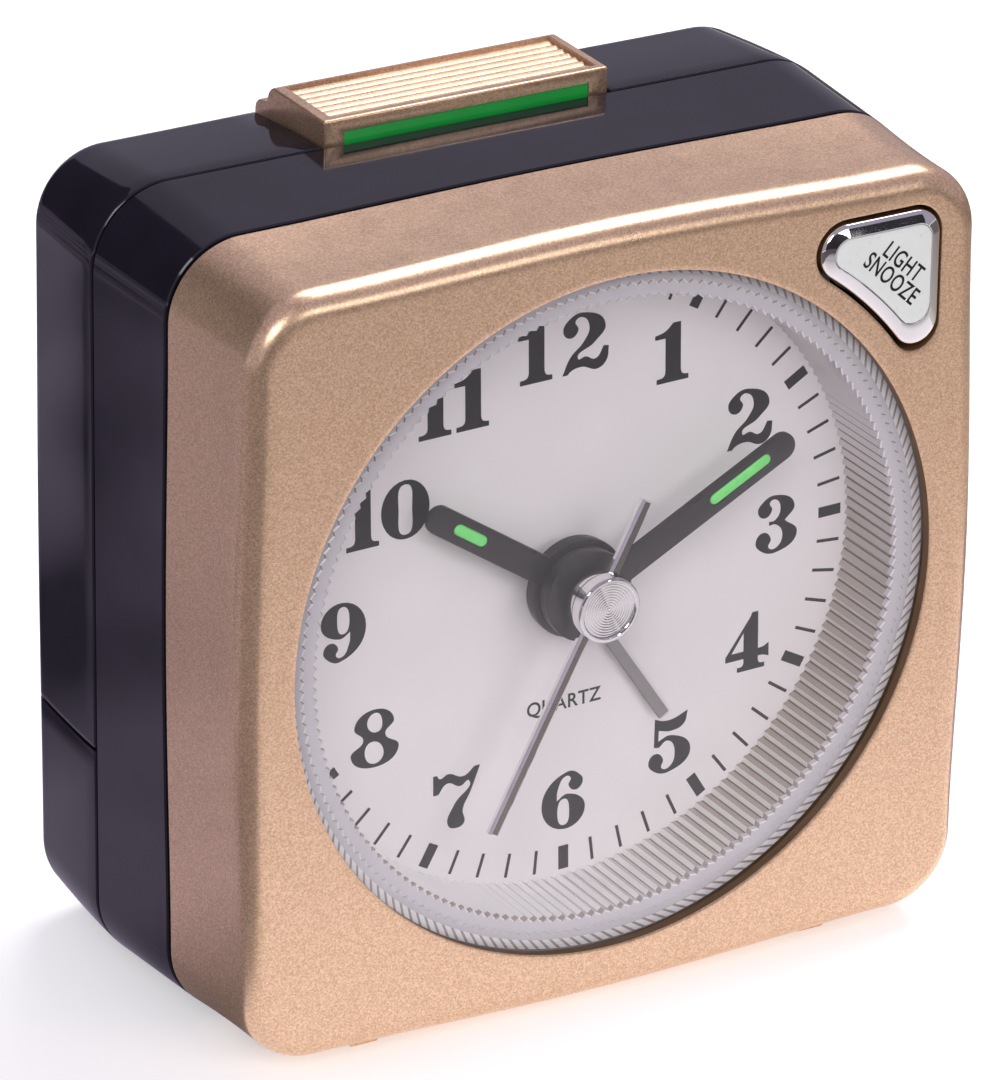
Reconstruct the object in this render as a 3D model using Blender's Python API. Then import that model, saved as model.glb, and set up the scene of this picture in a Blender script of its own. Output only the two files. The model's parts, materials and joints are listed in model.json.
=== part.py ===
"""Travel alarm clock: a square quartz clock with a corner button, a top alarm bar and a rear battery door.

Sizes are in millimetres. X runs to the right seen from the front, Y from the front to the back, Z up.
The origin is the middle of the base. A depth is a distance behind the front face, so Y = FRONT_Y + depth.
A point on the dial side is given from the dial's centre as (x, z).
"""

import math

import bmesh
import bpy
from mathutils import Matrix, Vector

MM = 0.001

# Overall size
CASE_WIDTH = 65.0
CASE_HEIGHT = 64.7
CASE_DEPTH = 35.0
RAIL_HEIGHT = 0.3
BUTTON_RISE = 0.7
FRONT_Y = -(CASE_DEPTH - BUTTON_RISE) / 2
CENTRE_Z = RAIL_HEIGHT + CASE_HEIGHT / 2
HEIGHT_DEFICIT = (CASE_WIDTH - CASE_HEIGHT) / 2

# Case: half width, corner radius and outward bow of the sides at each depth
FRONT_HALF, FRONT_CORNER, FRONT_BOW = 31.45, 5.8, 0.65
SEAM_HALF, SEAM_CORNER, SEAM_BOW = 31.95, 6.1, 0.30
WIDEST_HALF, WIDEST_CORNER, WIDEST_BOW = 32.46, 6.4, 0.04
BACK_HALF, BACK_CORNER, BACK_BOW = 31.78, 5.8, 0.12
FRONT_FILLET = 2.0
BACK_FILLET = 1.8
WALL = 1.6
BEZEL_END, MID_START = 12.1, 12.5
MID_END, BACK_START = 23.0, 23.3
DOOR_TOP = 19.0 - CENTRE_Z
SHELL_BOTTOM = DOOR_TOP + 0.35

# Dial side
OPENING_RADIUS = 27.78
LIP_DEPTH = 0.75
CRYSTAL_RADIUS = 28.4
CRYSTAL_START, CRYSTAL_END = 0.8, 1.4
RING_INNER, RING_OUTER = 25.25, 26.3
DIAL_RADIUS = 27.6
DIAL_DEPTH, DIAL_THICKNESS = 8.6, 0.6
HOLE_RADIUS = 2.9

# Hands: angle clockwise from twelve, and reach from the centre
HOUR_ANGLE, HOUR_REACH = 304.0, 15.75
MINUTE_ANGLE, MINUTE_REACH = 62.4, 20.2
SECOND_ANGLE, SECOND_REACH, SECOND_TAIL = 207.6, 19.6, 8.7
ALARM_ANGLE, ALARM_REACH = 146.4, 15.95
HAND_WIDTH, THIN_WIDTH = 2.3, 0.95
HOUR_LUME, MINUTE_LUME = (10.2, 12.6), (12.4, 17.4)
SLOT_RADIUS, LUME_RADIUS = 0.5, 0.42
HOUR_BOSS, MINUTE_BOSS, CAP_RADIUS = 4.04, 3.68, 2.68

# Gear train: centre distances, and the arbors' places from the dial's centre
MOTION_DISTANCE = 10.0
ALARM_DISTANCE = 12.0
TRAIN_DISTANCE = 9.45
ROTOR_DISTANCE = 6.3
CENTRE = (0.0, 0.0)
ARBOR_RADIUS = 0.55
LEVEL = {
    "alarm": 11.0,
    "hour": 12.1,
    "minute": 13.2,
    "centre": 15.3,
    "third": 16.5,
    "second": 17.7,
    "step": 18.9,
}
GEAR_THICKNESS = 0.7
PINION_OVERHANG = 0.1

# Movement box
PLATE_START, PLATE_END = 9.5, 10.7
MIDDLE_START, MIDDLE_END = 14.2, 15.0
COVER_START, COVER_END = 11.0, 22.4
MOVEMENT_HALF, MOVEMENT_BOTTOM, MOVEMENT_TOP = 24.0, -13.5, 20.0

# Battery
BATTERY_RADIUS = 7.1
BATTERY_DEPTH, BATTERY_Z = 25.4, 10.4 - CENTRE_Z
BATTERY_LEFT, BATTERY_RIGHT = -23.6, 25.2

# Alarm bar and front button
BAR_LEFT, BAR_RIGHT = -12.7, 12.1
BAR_START, BAR_TOP, BAR_BOTTOM = 23.25, 34.35, 30.75
NOTCH_FLOOR = 29.25
BAR_GAP = 0.3
CHEEK = 1.3
BUTTON_GAP = 0.3
BUTTON_PIVOT = (24.6, 25.0)

# Rear side
KNOB_RADIUS, KNOB_START, KNOB_END = 5.4, 28.0, 34.6
RECESS = (-16.3, -2.4, 18.0, 13.6)
RECESS_DEPTH = 27.2
BUZZER_PLACE = (-17.5, 22.0)
SCREW_PLACES = [(-27.0, 26.0), (27.0, 26.0), (-27.0, -10.0), (27.0, -10.0)]
MOVEMENT_SCREWS = [(-22.0, 17.8), (22.0, 17.8), (-22.0, -11.0)]
COIL_X = 20.0
RAIL_X = 20.0

# A cutter starts or ends this far beyond the surface that it cuts
CLEAR = 1.0


def polar(distance, degrees_from_x):
    angle = math.radians(degrees_from_x)
    return (distance * math.cos(angle), distance * math.sin(angle))


TIME_ARBOR = polar(MOTION_DISTANCE, 150)
ALARM_ARBOR = polar(ALARM_DISTANCE, 30)
THIRD_ARBOR = polar(TRAIN_DISTANCE, 90)
STEP_ARBOR = polar(TRAIN_DISTANCE, -42)
ROTOR_ARBOR = (STEP_ARBOR[0] + polar(ROTOR_DISTANCE, 10)[0], STEP_ARBOR[1] + polar(ROTOR_DISTANCE, 10)[1])

# Finish of each material: colour, metallic, roughness, and alpha where the piece is clear
FINISHES = {
    "gold_paint": ((0.62, 0.43, 0.29), 0.7, 0.35, 1.0),
    "black_gloss": ((0.012, 0.010, 0.016), 0.0, 0.08, 1.0),
    "black_satin": ((0.02, 0.018, 0.022), 0.0, 0.45, 1.0),
    "clear_plastic": ((0.9, 0.9, 0.92), 0.0, 0.05, 0.25),
    "dial_card": ((0.75, 0.72, 0.74), 0.0, 0.5, 1.0),
    "white_plastic": ((0.75, 0.75, 0.72), 0.0, 0.4, 1.0),
    "grey_plastic": ((0.55, 0.56, 0.54), 0.0, 0.35, 1.0),
    "green_plastic": ((0.02, 0.35, 0.05), 0.0, 0.3, 1.0),
    "lume": ((0.25, 0.75, 0.25), 0.0, 0.5, 1.0),
    "chrome": ((0.8, 0.79, 0.8), 1.0, 0.08, 1.0),
    "steel": ((0.55, 0.55, 0.56), 1.0, 0.3, 1.0),
    "brass": ((0.7, 0.5, 0.2), 1.0, 0.3, 1.0),
    "copper": ((0.65, 0.28, 0.12), 1.0, 0.35, 1.0),
    "magnet": ((0.08, 0.08, 0.085), 0.2, 0.5, 1.0),
    "board": ((0.03, 0.16, 0.06), 0.0, 0.4, 1.0),
    "battery_wrap": ((0.05, 0.12, 0.3), 0.2, 0.3, 1.0),
}


# ---------------------------------------------------------------- helpers


def clear_scene():
    for item in list(bpy.data.objects):
        bpy.data.objects.remove(item, do_unlink=True)


def material(finish):
    found = bpy.data.materials.get(finish)
    if found:
        return found
    colour, metallic, roughness, alpha = FINISHES[finish]
    made = bpy.data.materials.new(finish)
    made.use_nodes = True
    shader = made.node_tree.nodes["Principled BSDF"]
    shader.inputs["Base Color"].default_value = (*colour, 1.0)
    shader.inputs["Metallic"].default_value = metallic
    shader.inputs["Roughness"].default_value = roughness
    shader.inputs["Alpha"].default_value = alpha
    return made


def circle(radius, count, centre=CENTRE):
    step = 2 * math.pi / count
    return [
        (centre[0] + radius * math.cos(i * step), centre[1] + radius * math.sin(i * step))
        for i in range(count)
    ]


def segments_for(radius):
    if radius > 12:
        return 48
    return 24 if radius > 3 else 12


def rectangle(left, bottom, right, top):
    return [(left, bottom), (right, bottom), (right, top), (left, top)]


def arc(centre, radius, start, end, count):
    """Points on an arc, from start to end in degrees from +X towards +Z."""
    turn = (end - start) / count
    return [
        (
            centre[0] + radius * math.cos(math.radians(start + i * turn)),
            centre[1] + radius * math.sin(math.radians(start + i * turn)),
        )
        for i in range(count + 1)
    ]


def case_outline(half, corner, bow, corner_steps=6, side_steps=4):
    """A square with round corners whose sides bow out by bow at their middles."""
    half_z = half - HEIGHT_DEFICIT
    centres = [(half - corner, half_z - corner), (corner - half, half_z - corner)]
    centres += [(-x, -z) for x, z in centres]
    points = []
    for i, centre in enumerate(centres):
        corner_arc = arc(centre, corner, 90 * i, 90 * i + 90, corner_steps)
        points += corner_arc
        start = Vector(corner_arc[-1])
        following = centres[(i + 1) % 4]
        end = Vector(arc(following, corner, 90 * i + 90, 90 * i + 90, 1)[0])
        outward = Vector(polar(1.0, 90 * i + 90))
        for k in range(1, side_steps):
            t = k / side_steps
            points.append(tuple(start.lerp(end, t) + outward * bow * (1 - (2 * t - 1) ** 2)))
    return points


def stadium(start, end, radius, steps=6):
    """The outline around a straight bar with round ends."""
    along = math.degrees(math.atan2(end[1] - start[1], end[0] - start[0]))
    far_end = arc(end, radius, along - 90, along + 90, steps)
    return far_end + arc(start, radius, along + 90, along + 270, steps)


def mesh_from_rings(rings, closed_loop=False):
    """A solid through rings of equal length: capped at both ends, or joined round into a tube."""
    shape = bmesh.new()
    loops = [[shape.verts.new(Vector(point) * MM) for point in ring] for ring in rings]
    count = len(loops[0])
    pairs = list(zip(loops, loops[1:]))
    if closed_loop:
        pairs.append((loops[-1], loops[0]))
    else:
        shape.faces.new(loops[0])
        shape.faces.new(loops[-1])
    for first, second in pairs:
        for i in range(count):
            k = (i + 1) % count
            shape.faces.new((first[i], first[k], second[k], second[i]))
    bmesh.ops.recalc_face_normals(shape, faces=shape.faces)
    mesh = bpy.data.meshes.new("solid")
    shape.to_mesh(mesh)
    shape.free()
    return mesh


def node(name, mesh, finish="black_satin", smooth=40):
    made = bpy.data.objects.new(name, mesh)
    bpy.context.scene.collection.objects.link(made)
    mesh.materials.clear()
    mesh.materials.append(material(finish))
    if smooth:
        mesh.shade_smooth()
        mesh.set_sharp_from_angle(angle=math.radians(smooth))
    return made


def at_depth(outline, depth):
    """A dial-side outline as points in space."""
    return [(x, FRONT_Y + depth, CENTRE_Z + z) for x, z in outline]


def prism(outline, start, end):
    """A dial-side outline carried from one depth to another."""
    return mesh_from_rings([at_depth(outline, start), at_depth(outline, end)])


def turned(profile, centre=CENTRE, count=None):
    """A solid of revolution about the depth direction, from (depth, radius) stations."""
    count = count or segments_for(max(radius for _, radius in profile))
    rings = [at_depth(circle(radius, count, centre), depth) for depth, radius in profile]
    return mesh_from_rings(rings)


def through_hole(radius, centre=CENTRE, start=0.0, end=CASE_DEPTH):
    """A round cutter along the depth direction."""
    return turned([(start, radius), (end, radius)], centre)


def turned_tube(profile, centre=CENTRE, count=None):
    """A ring of revolution: its (depth, radius) section goes right round."""
    count = count or segments_for(max(radius for _, radius in profile))
    rings = [at_depth(circle(radius, count, centre), depth) for depth, radius in profile]
    return mesh_from_rings(rings, closed_loop=True)


def sideways(section, left, right):
    """A (depth, z) section carried along X."""
    rings = [[(x, FRONT_Y + depth, CENTRE_Z + z) for depth, z in section] for x in (left, right)]
    return mesh_from_rings(rings)


def upright(section, bottom, top):
    """An (x, depth) section carried along Z."""
    rings = [[(x, FRONT_Y + depth, CENTRE_Z + z) for x, depth in section] for z in (bottom, top)]
    return mesh_from_rings(rings)


def combine(target, operation, meshes):
    """Applies one Boolean for each mesh to the target."""
    helpers = []
    for mesh in meshes:
        helper = node("helper", mesh, smooth=0)
        modifier = target.modifiers.new(operation.lower(), "BOOLEAN")
        modifier.operation = operation
        modifier.solver = "EXACT"
        modifier.object = helper
        helpers.append(helper)
    graph = bpy.context.evaluated_depsgraph_get()
    result = bpy.data.meshes.new_from_object(target.evaluated_get(graph))
    target.modifiers.clear()
    finish = target.data.materials[0]
    target.data = result
    result.materials.clear()
    result.materials.append(finish)
    for helper in helpers:
        bpy.data.objects.remove(helper, do_unlink=True)
    return target


def cut(target, *meshes):
    return combine(target, "DIFFERENCE", meshes)


def join(target, *meshes):
    return combine(target, "UNION", meshes)


def set_origin(item, point):
    """Moves the object's origin to a point in millimetres without moving its surface."""
    shift = Vector(point) * MM
    item.data.transform(Matrix.Translation(-shift))
    item.location = shift


def on_axis(item, centre=CENTRE):
    set_origin(item, (centre[0], 0.0, CENTRE_Z + centre[1]))
    return item


def hand_direction(clock_degrees):
    angle = math.radians(clock_degrees)
    return Vector((math.sin(angle), math.cos(angle)))


def gear_outline(teeth, module, centre, facing, pinion, phase_gap=False):
    """A toothed outline. A tooth, or with phase_gap a gap, points along facing degrees."""
    pitch_radius = teeth * module / 2
    if pinion:
        addendum, dedendum, root_width, tip_width = 0.8, 1.2, 1.5, 0.5
    else:
        addendum, dedendum, root_width, tip_width = 0.95, 1.1, 1.8, 0.0
    root = pitch_radius - dedendum * module
    tip = pitch_radius + addendum * module
    crest = [(tip, -tip_width), (tip, tip_width)] if tip_width else [(tip, 0.0)]
    corners = [(root, -root_width), *crest, (root, root_width)]
    step = 2 * math.pi / teeth
    offset = math.radians(facing) + (step / 2 if phase_gap else 0.0)
    points = []
    for i in range(teeth):
        middle = offset + i * step
        for radius, width in corners:
            angle = middle + width * module / 2 / radius
            points.append((centre[0] + radius * math.cos(angle), centre[1] + radius * math.sin(angle)))
    return points


def direction(start, end):
    return math.degrees(math.atan2(end[1] - start[1], end[0] - start[0]))


def pair_module(distance, first_teeth, second_teeth):
    return 2 * distance / (first_teeth + second_teeth)


def wheel_mesh(teeth, module, centre, facing, level):
    outline = gear_outline(teeth, module, centre, facing, pinion=False, phase_gap=True)
    return prism(outline, LEVEL[level], LEVEL[level] + GEAR_THICKNESS)


def pinion_mesh(teeth, module, centre, facing, level, start=None, end=None):
    outline = gear_outline(teeth, module, centre, facing, pinion=True)
    start = LEVEL[level] - PINION_OVERHANG if start is None else start
    end = LEVEL[level] + GEAR_THICKNESS + PINION_OVERHANG if end is None else end
    return prism(outline, start, end)


# ---------------------------------------------------------------- case


def shell_rings(stations):
    return [at_depth(case_outline(half, corner, bow), depth) for depth, half, corner, bow in stations]


def filleted_stations(edge_depth, face_depth, half, corner, bow, radius, steps=4):
    """Stations of an outline that rounds over into a flat face."""
    sense = 1 if face_depth > edge_depth else -1
    found = []
    for i in range(1, steps + 1):
        angle = math.pi / 2 * i / steps
        inset = radius * (1 - math.cos(angle))
        depth = face_depth - sense * radius * (1 - math.sin(angle))
        found.append((depth, half - inset, corner - inset, bow))
    return found


def blend_station(first, second, share):
    return tuple(a + (b - a) * share for a, b in zip(first, second))


def rails(start, end, height):
    """The two rails that the clock stands on, with their tops at a height above the base."""
    outline = rectangle(start, -CENTRE_Z, end, height - CENTRE_Z)
    return [sideways(outline, side * RAIL_X - 1.2, side * RAIL_X + 1.2) for side in (-1, 1)]


def button_outline(inset):
    """The front button's outline: two straight sides, one side round the dial, three round corners."""
    side, top, ring = 27.84 - inset, 28.62 - inset, 29.8 + inset
    left_radius, bottom_radius, top_radius = 2.58 - inset, 2.08 - inset * 0.5, 2.5 - inset
    left = corner_on_ring(Vector((0, 1)), top, ring, left_radius)
    bottom = corner_on_ring(Vector((1, 0)), side, ring, bottom_radius)
    top_centre = (side - top_radius, top - top_radius)
    left_inward = math.degrees(math.atan2(left[1], left[0])) + 180
    bottom_inward = math.degrees(math.atan2(bottom[1], bottom[0])) - 180
    points = arc(top_centre, top_radius, 0, 90, 6)
    points += arc(left, left_radius, 90, left_inward, 8)
    points += arc(CENTRE, ring, left_inward - 180, bottom_inward + 180, 8)[1:-1]
    points += arc(bottom, bottom_radius, bottom_inward, 0, 8)
    return points


def corner_on_ring(normal, limit, ring, radius):
    """Centre of a corner circle that touches a straight side and, from outside, the dial's ring."""
    along = limit - radius
    other = math.sqrt((ring + radius) ** 2 - along ** 2)
    return (along, other) if normal.x else (other, along)


def build_bezel():
    front = (FRONT_FILLET, FRONT_HALF, FRONT_CORNER, FRONT_BOW)
    rear = (BEZEL_END, SEAM_HALF, SEAM_CORNER, SEAM_BOW)
    stations = [rear, blend_station(rear, front, 0.5), front]
    stations += filleted_stations(FRONT_FILLET, 0.0, FRONT_HALF, FRONT_CORNER, FRONT_BOW, FRONT_FILLET)
    bezel = node("front_bezel", mesh_from_rings(shell_rings(stations)), "gold_paint", 35)
    join(bezel, *rails(3.2, BEZEL_END - 1.1, RAIL_HEIGHT + 1.2))
    inner = [
        (BEZEL_END + CLEAR, SEAM_HALF - WALL, SEAM_CORNER - WALL, SEAM_BOW),
        (LIP_DEPTH + WALL, FRONT_HALF - WALL, FRONT_CORNER - WALL, FRONT_BOW),
    ]
    cut(
        bezel,
        mesh_from_rings(shell_rings(inner)),
        through_hole(OPENING_RADIUS, start=-CLEAR, end=5.0),
        through_hole(CRYSTAL_RADIUS + 0.2, start=LIP_DEPTH, end=5.0),
        prism(button_outline(0.0), -CLEAR, 5.0),
    )


def build_window():
    pane = turned([(CRYSTAL_START, CRYSTAL_RADIUS), (CRYSTAL_END, CRYSTAL_RADIUS)])
    node("crystal", pane, "clear_plastic")
    skirt = rectangle(CRYSTAL_END + 0.1, RING_INNER, DIAL_DEPTH - 0.1, RING_OUTER)
    node("light_ring", turned_tube(skirt), "clear_plastic")
    card = rectangle(DIAL_DEPTH, HOLE_RADIUS, DIAL_DEPTH + DIAL_THICKNESS, DIAL_RADIUS)
    node("dial", turned_tube(card), "dial_card")


def build_mid_case():
    outer = [
        (MID_START, SEAM_HALF + 0.02, SEAM_CORNER, SEAM_BOW),
        (MID_START + 0.4, SEAM_HALF + 0.1, SEAM_CORNER, SEAM_BOW),
        (MID_END, WIDEST_HALF, WIDEST_CORNER, WIDEST_BOW),
    ]
    inner = [(depth, half - WALL, corner - WALL, bow) for depth, half, corner, bow in (outer[-1], outer[0])]
    mid = node("mid_case", mesh_from_rings(shell_rings(outer + inner), closed_loop=True), "black_gloss", 35)
    added = rails(MID_START + 0.8, MID_END - 0.6, 1.0)
    for x, z in SCREW_PLACES:
        web = sorted((x, math.copysign(SEAM_HALF - 0.6, x)))
        added.append(turned([(14.0, 2.6), (MID_END, 2.6)], (x, z)))
        added.append(prism(rectangle(web[0], z - 0.8, web[1], z + 0.8), 14.0, MID_END))
    join(mid, *added)
    cut(mid, *[through_hole(1.05, place, 15.0, MID_END + CLEAR) for place in SCREW_PLACES])


def back_shell_mesh():
    """The outside of the rear shell and the battery door."""
    front = (BACK_START, WIDEST_HALF, WIDEST_CORNER, WIDEST_BOW)
    edge = (CASE_DEPTH - BACK_FILLET, BACK_HALF, BACK_CORNER, BACK_BOW)
    stations = [front, blend_station(front, edge, 0.5), edge]
    stations += filleted_stations(edge[0], CASE_DEPTH, BACK_HALF, BACK_CORNER, BACK_BOW, BACK_FILLET)
    return mesh_from_rings(shell_rings(stations))


def back_hollow_mesh():
    """The space inside the rear shell and the battery door."""
    stations = [
        (BACK_START - CLEAR, WIDEST_HALF - WALL, WIDEST_CORNER - WALL, WIDEST_BOW),
        (CASE_DEPTH - WALL, BACK_HALF - WALL - 0.4, BACK_CORNER - WALL, BACK_BOW),
    ]
    return mesh_from_rings(shell_rings(stations))


def back_block(bottom, top):
    """A cutter for all of the rear shell between two heights."""
    return prism(rectangle(-CASE_WIDTH, bottom, CASE_WIDTH, top), BACK_START - CLEAR, CASE_DEPTH + CLEAR)


def slot_cutter(centre, half_length, half_width, depth):
    """A level slot cut into the rear face to a depth below it."""
    x, z = centre
    outline = rectangle(x - half_length, z - half_width, x + half_length, z + half_width)
    return prism(outline, CASE_DEPTH - depth, CASE_DEPTH + CLEAR)


def build_back_case():
    back = node("back_case", back_shell_mesh(), "black_gloss", 35)
    cut(back, back_hollow_mesh())
    left, bottom, right, top = RECESS
    wall = 1.2
    pocket = rectangle(left - wall, bottom - wall, right + wall, top + wall)
    ledge_bottom = NOTCH_FLOOR - 1.4
    rear = CASE_DEPTH - 0.8
    floor = rectangle(BACK_START, SHELL_BOTTOM, rear, SHELL_BOTTOM + wall)
    ledge = rectangle(BACK_START, ledge_bottom, rear, NOTCH_FLOOR)
    cheek_rear = CASE_DEPTH - 1.2
    cheek = [(BACK_START, ledge_bottom), (BACK_START, 31.6), (cheek_rear, 31.0), (cheek_rear, ledge_bottom)]
    notch_left, notch_right = BAR_LEFT - BAR_GAP, BAR_RIGHT + BAR_GAP
    join(
        back,
        sideways(floor, -31.2, 31.2),
        prism(pocket, RECESS_DEPTH - wall, CASE_DEPTH - 0.5),
        sideways(ledge, notch_left - CHEEK, notch_right + CHEEK),
        sideways(cheek, notch_left - CHEEK, notch_left),
        sideways(cheek, notch_right, notch_right + CHEEK),
        *[turned([(BACK_START, 2.9), (CASE_DEPTH - 0.4, 2.9)], place) for place in SCREW_PLACES],
    )
    notch = rectangle(BACK_START - CLEAR, NOTCH_FLOOR, CASE_DEPTH + CLEAR, CASE_HEIGHT)
    buzzer_x, buzzer_z = BUZZER_PLACE
    sound_slots = [slot_cutter((buzzer_x, buzzer_z + 2.4 * k), 4.5, 0.6, 4.0) for k in (-1, 0, 1)]
    holes = []
    for place in SCREW_PLACES:
        holes.append(through_hole(2.3, place, 26.5, CASE_DEPTH + CLEAR))
        holes.append(through_hole(1.3, place, BACK_START - CLEAR, 27.0))
    for place in (TIME_ARBOR, ALARM_ARBOR):
        holes.append(through_hole(ARBOR_RADIUS + 0.3, place, 20.0, 30.0))
    cut(
        back,
        back_block(-CASE_HEIGHT, SHELL_BOTTOM),
        prism(rectangle(left, bottom, right, top), RECESS_DEPTH, CASE_DEPTH + CLEAR),
        sideways(notch, notch_left, notch_right),
        prism(rectangle(-4.7, NOTCH_FLOOR - 3.0, 4.1, NOTCH_FLOOR + CLEAR), 25.1, 30.1),
        *holes,
        *sound_slots,
    )


def build_battery_door():
    door = node("battery_door", back_shell_mesh(), "black_gloss", 35)
    join(door, *rails(BACK_START + 0.8, CASE_DEPTH - 3.0, 1.2))
    grip = [slot_cutter((0.0, -20.0 - 1.8 * k), 7.0, 0.45, 0.6) for k in range(4)]
    cut(door, back_hollow_mesh(), back_block(DOOR_TOP, CASE_HEIGHT), *grip)
    set_origin(door, (0.0, FRONT_Y + BACK_START, CENTRE_Z + DOOR_TOP))


def build_case_screws():
    profile = [(17.0, 0.9), (26.7, 0.9), (26.7, 1.9), (27.5, 1.9), (27.9, 1.5)]
    for number, place in enumerate(SCREW_PLACES, 1):
        screw = node(f"case_screw_{number}", turned(profile, place), "steel")
        cut_slot(screw, place, profile[-1][0])


def cut_slot(screw, place, head_depth):
    x, z = place
    outline = rectangle(x - 3.0, z - 0.25, x + 3.0, z + 0.25)
    cut(screw, prism(outline, head_depth - 0.5, head_depth + CLEAR))


# ---------------------------------------------------------------- hands


def blade(angle, start, reach, width, near, far):
    """A flat hand's blade between two heights above the dial, with a round tip."""
    towards = hand_direction(angle)
    tip = towards * (reach - width / 2)
    outline = stadium(towards * start, tip, width / 2)
    return prism(outline, DIAL_DEPTH - far, DIAL_DEPTH - near)


def lume_slot(angle, start, end, radius, near, far):
    towards = hand_direction(angle)
    return prism(stadium(towards * start, towards * end, radius), DIAL_DEPTH - far, DIAL_DEPTH - near)


def boss_section(outer, inner, near, far):
    """The (depth, radius) section of a ring between two heights above the dial."""
    return rectangle(DIAL_DEPTH - far, inner, DIAL_DEPTH - near, outer)


def build_hour_hand():
    near, far = 1.9, 2.35
    hand = node("hour_hand", turned_tube(boss_section(HOUR_BOSS, 1.95, 1.2, far)), "black_satin")
    join(hand, blade(HOUR_ANGLE, 3.2, HOUR_REACH, HAND_WIDTH, near, far))
    cut(hand, lume_slot(HOUR_ANGLE, *HOUR_LUME, SLOT_RADIUS, near - CLEAR, far + CLEAR))
    on_axis(hand)
    filling = lume_slot(HOUR_ANGLE, *HOUR_LUME, LUME_RADIUS, near + 0.05, far - 0.05)
    on_axis(node("hour_lume", filling, "lume"))


def build_minute_hand():
    near, far = 3.65, 4.1
    hand = node("minute_hand", turned_tube(boss_section(MINUTE_BOSS, 1.15, 2.6, far)), "black_satin")
    join(hand, blade(MINUTE_ANGLE, 2.9, MINUTE_REACH, HAND_WIDTH, near, far))
    cut(hand, lume_slot(MINUTE_ANGLE, *MINUTE_LUME, SLOT_RADIUS, near - CLEAR, far + CLEAR))
    on_axis(hand)
    filling = lume_slot(MINUTE_ANGLE, *MINUTE_LUME, LUME_RADIUS, near + 0.05, far - 0.05)
    on_axis(node("minute_lume", filling, "lume"))


def build_second_hand():
    hand = node("second_hand", turned_tube(boss_section(CAP_RADIUS, 0.5, 5.1, 5.75)), "chrome")
    join(
        hand,
        blade(SECOND_ANGLE, 2.0, SECOND_REACH, THIN_WIDTH, 5.2, 5.7),
        blade(SECOND_ANGLE + 180, 2.0, SECOND_TAIL, THIN_WIDTH, 5.2, 5.7),
        turned_tube(boss_section(1.4, 0.5, 4.3, 5.3), count=16),
    )
    on_axis(hand)
    top = DIAL_DEPTH - 7.05
    cap = [
        (DIAL_DEPTH - 5.85, CAP_RADIUS),
        (top + 0.15, CAP_RADIUS),
        (top, CAP_RADIUS - 0.15),
        (top, CAP_RADIUS - 0.45),
        (top + 0.2, CAP_RADIUS - 0.5),
    ]
    on_axis(node("second_hand_cap", turned(cap, count=32), "chrome"))


def build_alarm_hand():
    near, far = 0.5, 0.85
    hand = node("alarm_hand", turned_tube(boss_section(3.3, 2.72, near, far)), "steel")
    join(hand, blade(ALARM_ANGLE, 3.28, ALARM_REACH, THIN_WIDTH, near, far))
    on_axis(hand)


# ---------------------------------------------------------------- gears


def arbor_mesh(centre, start, end, radius=ARBOR_RADIUS):
    return turned([(start, radius), (end, radius)], centre)


def build_motion_work():
    pipe_module = pair_module(MOTION_DISTANCE, 12, 36)
    hour_module = pair_module(MOTION_DISTANCE, 10, 40)
    to_time = direction(CENTRE, TIME_ARBOR)
    minute_pipe = node("minute_pipe", turned([(DIAL_DEPTH - 4.1, 1.08), (16.3, 1.08)]), "brass")
    join(minute_pipe, pinion_mesh(12, pipe_module, CENTRE, to_time, "minute"))
    cut(minute_pipe, through_hole(0.65))
    on_axis(minute_pipe)

    minute_teeth = wheel_mesh(36, pipe_module, TIME_ARBOR, to_time + 180, "minute")
    minute_wheel = node("minute_wheel", minute_teeth, "white_plastic")
    join(
        minute_wheel,
        pinion_mesh(10, hour_module, TIME_ARBOR, to_time + 180, "hour", end=LEVEL["minute"] + 0.2),
        arbor_mesh(TIME_ARBOR, PLATE_START + 0.2, KNOB_END - 2.0),
    )
    on_axis(minute_wheel, TIME_ARBOR)

    hour_wheel = node("hour_wheel", wheel_mesh(40, hour_module, CENTRE, to_time, "hour"), "white_plastic")
    join(hour_wheel, turned([(DIAL_DEPTH - 2.35, 1.88), (LEVEL["hour"] + 0.8, 1.88)]))
    cut(hour_wheel, through_hole(1.3))
    on_axis(hour_wheel)

    alarm_module = pair_module(ALARM_DISTANCE, 20, 40)
    to_alarm = direction(CENTRE, ALARM_ARBOR)
    alarm_teeth = wheel_mesh(40, alarm_module, CENTRE, to_alarm, "alarm")
    alarm_wheel = node("alarm_wheel", alarm_teeth, "white_plastic")
    join(alarm_wheel, turned([(DIAL_DEPTH - 0.85, 2.65), (LEVEL["alarm"] + 0.8, 2.65)]))
    cut(alarm_wheel, turned([(0.0, 2.1), (CASE_DEPTH, 2.1)], count=32))
    on_axis(alarm_wheel)

    setting_teeth = pinion_mesh(20, alarm_module, ALARM_ARBOR, to_alarm + 180, "alarm")
    alarm_gear = node("alarm_setting_gear", setting_teeth, "white_plastic")
    join(alarm_gear, arbor_mesh(ALARM_ARBOR, PLATE_START + 0.2, KNOB_END - 2.0))
    on_axis(alarm_gear, ALARM_ARBOR)


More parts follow.
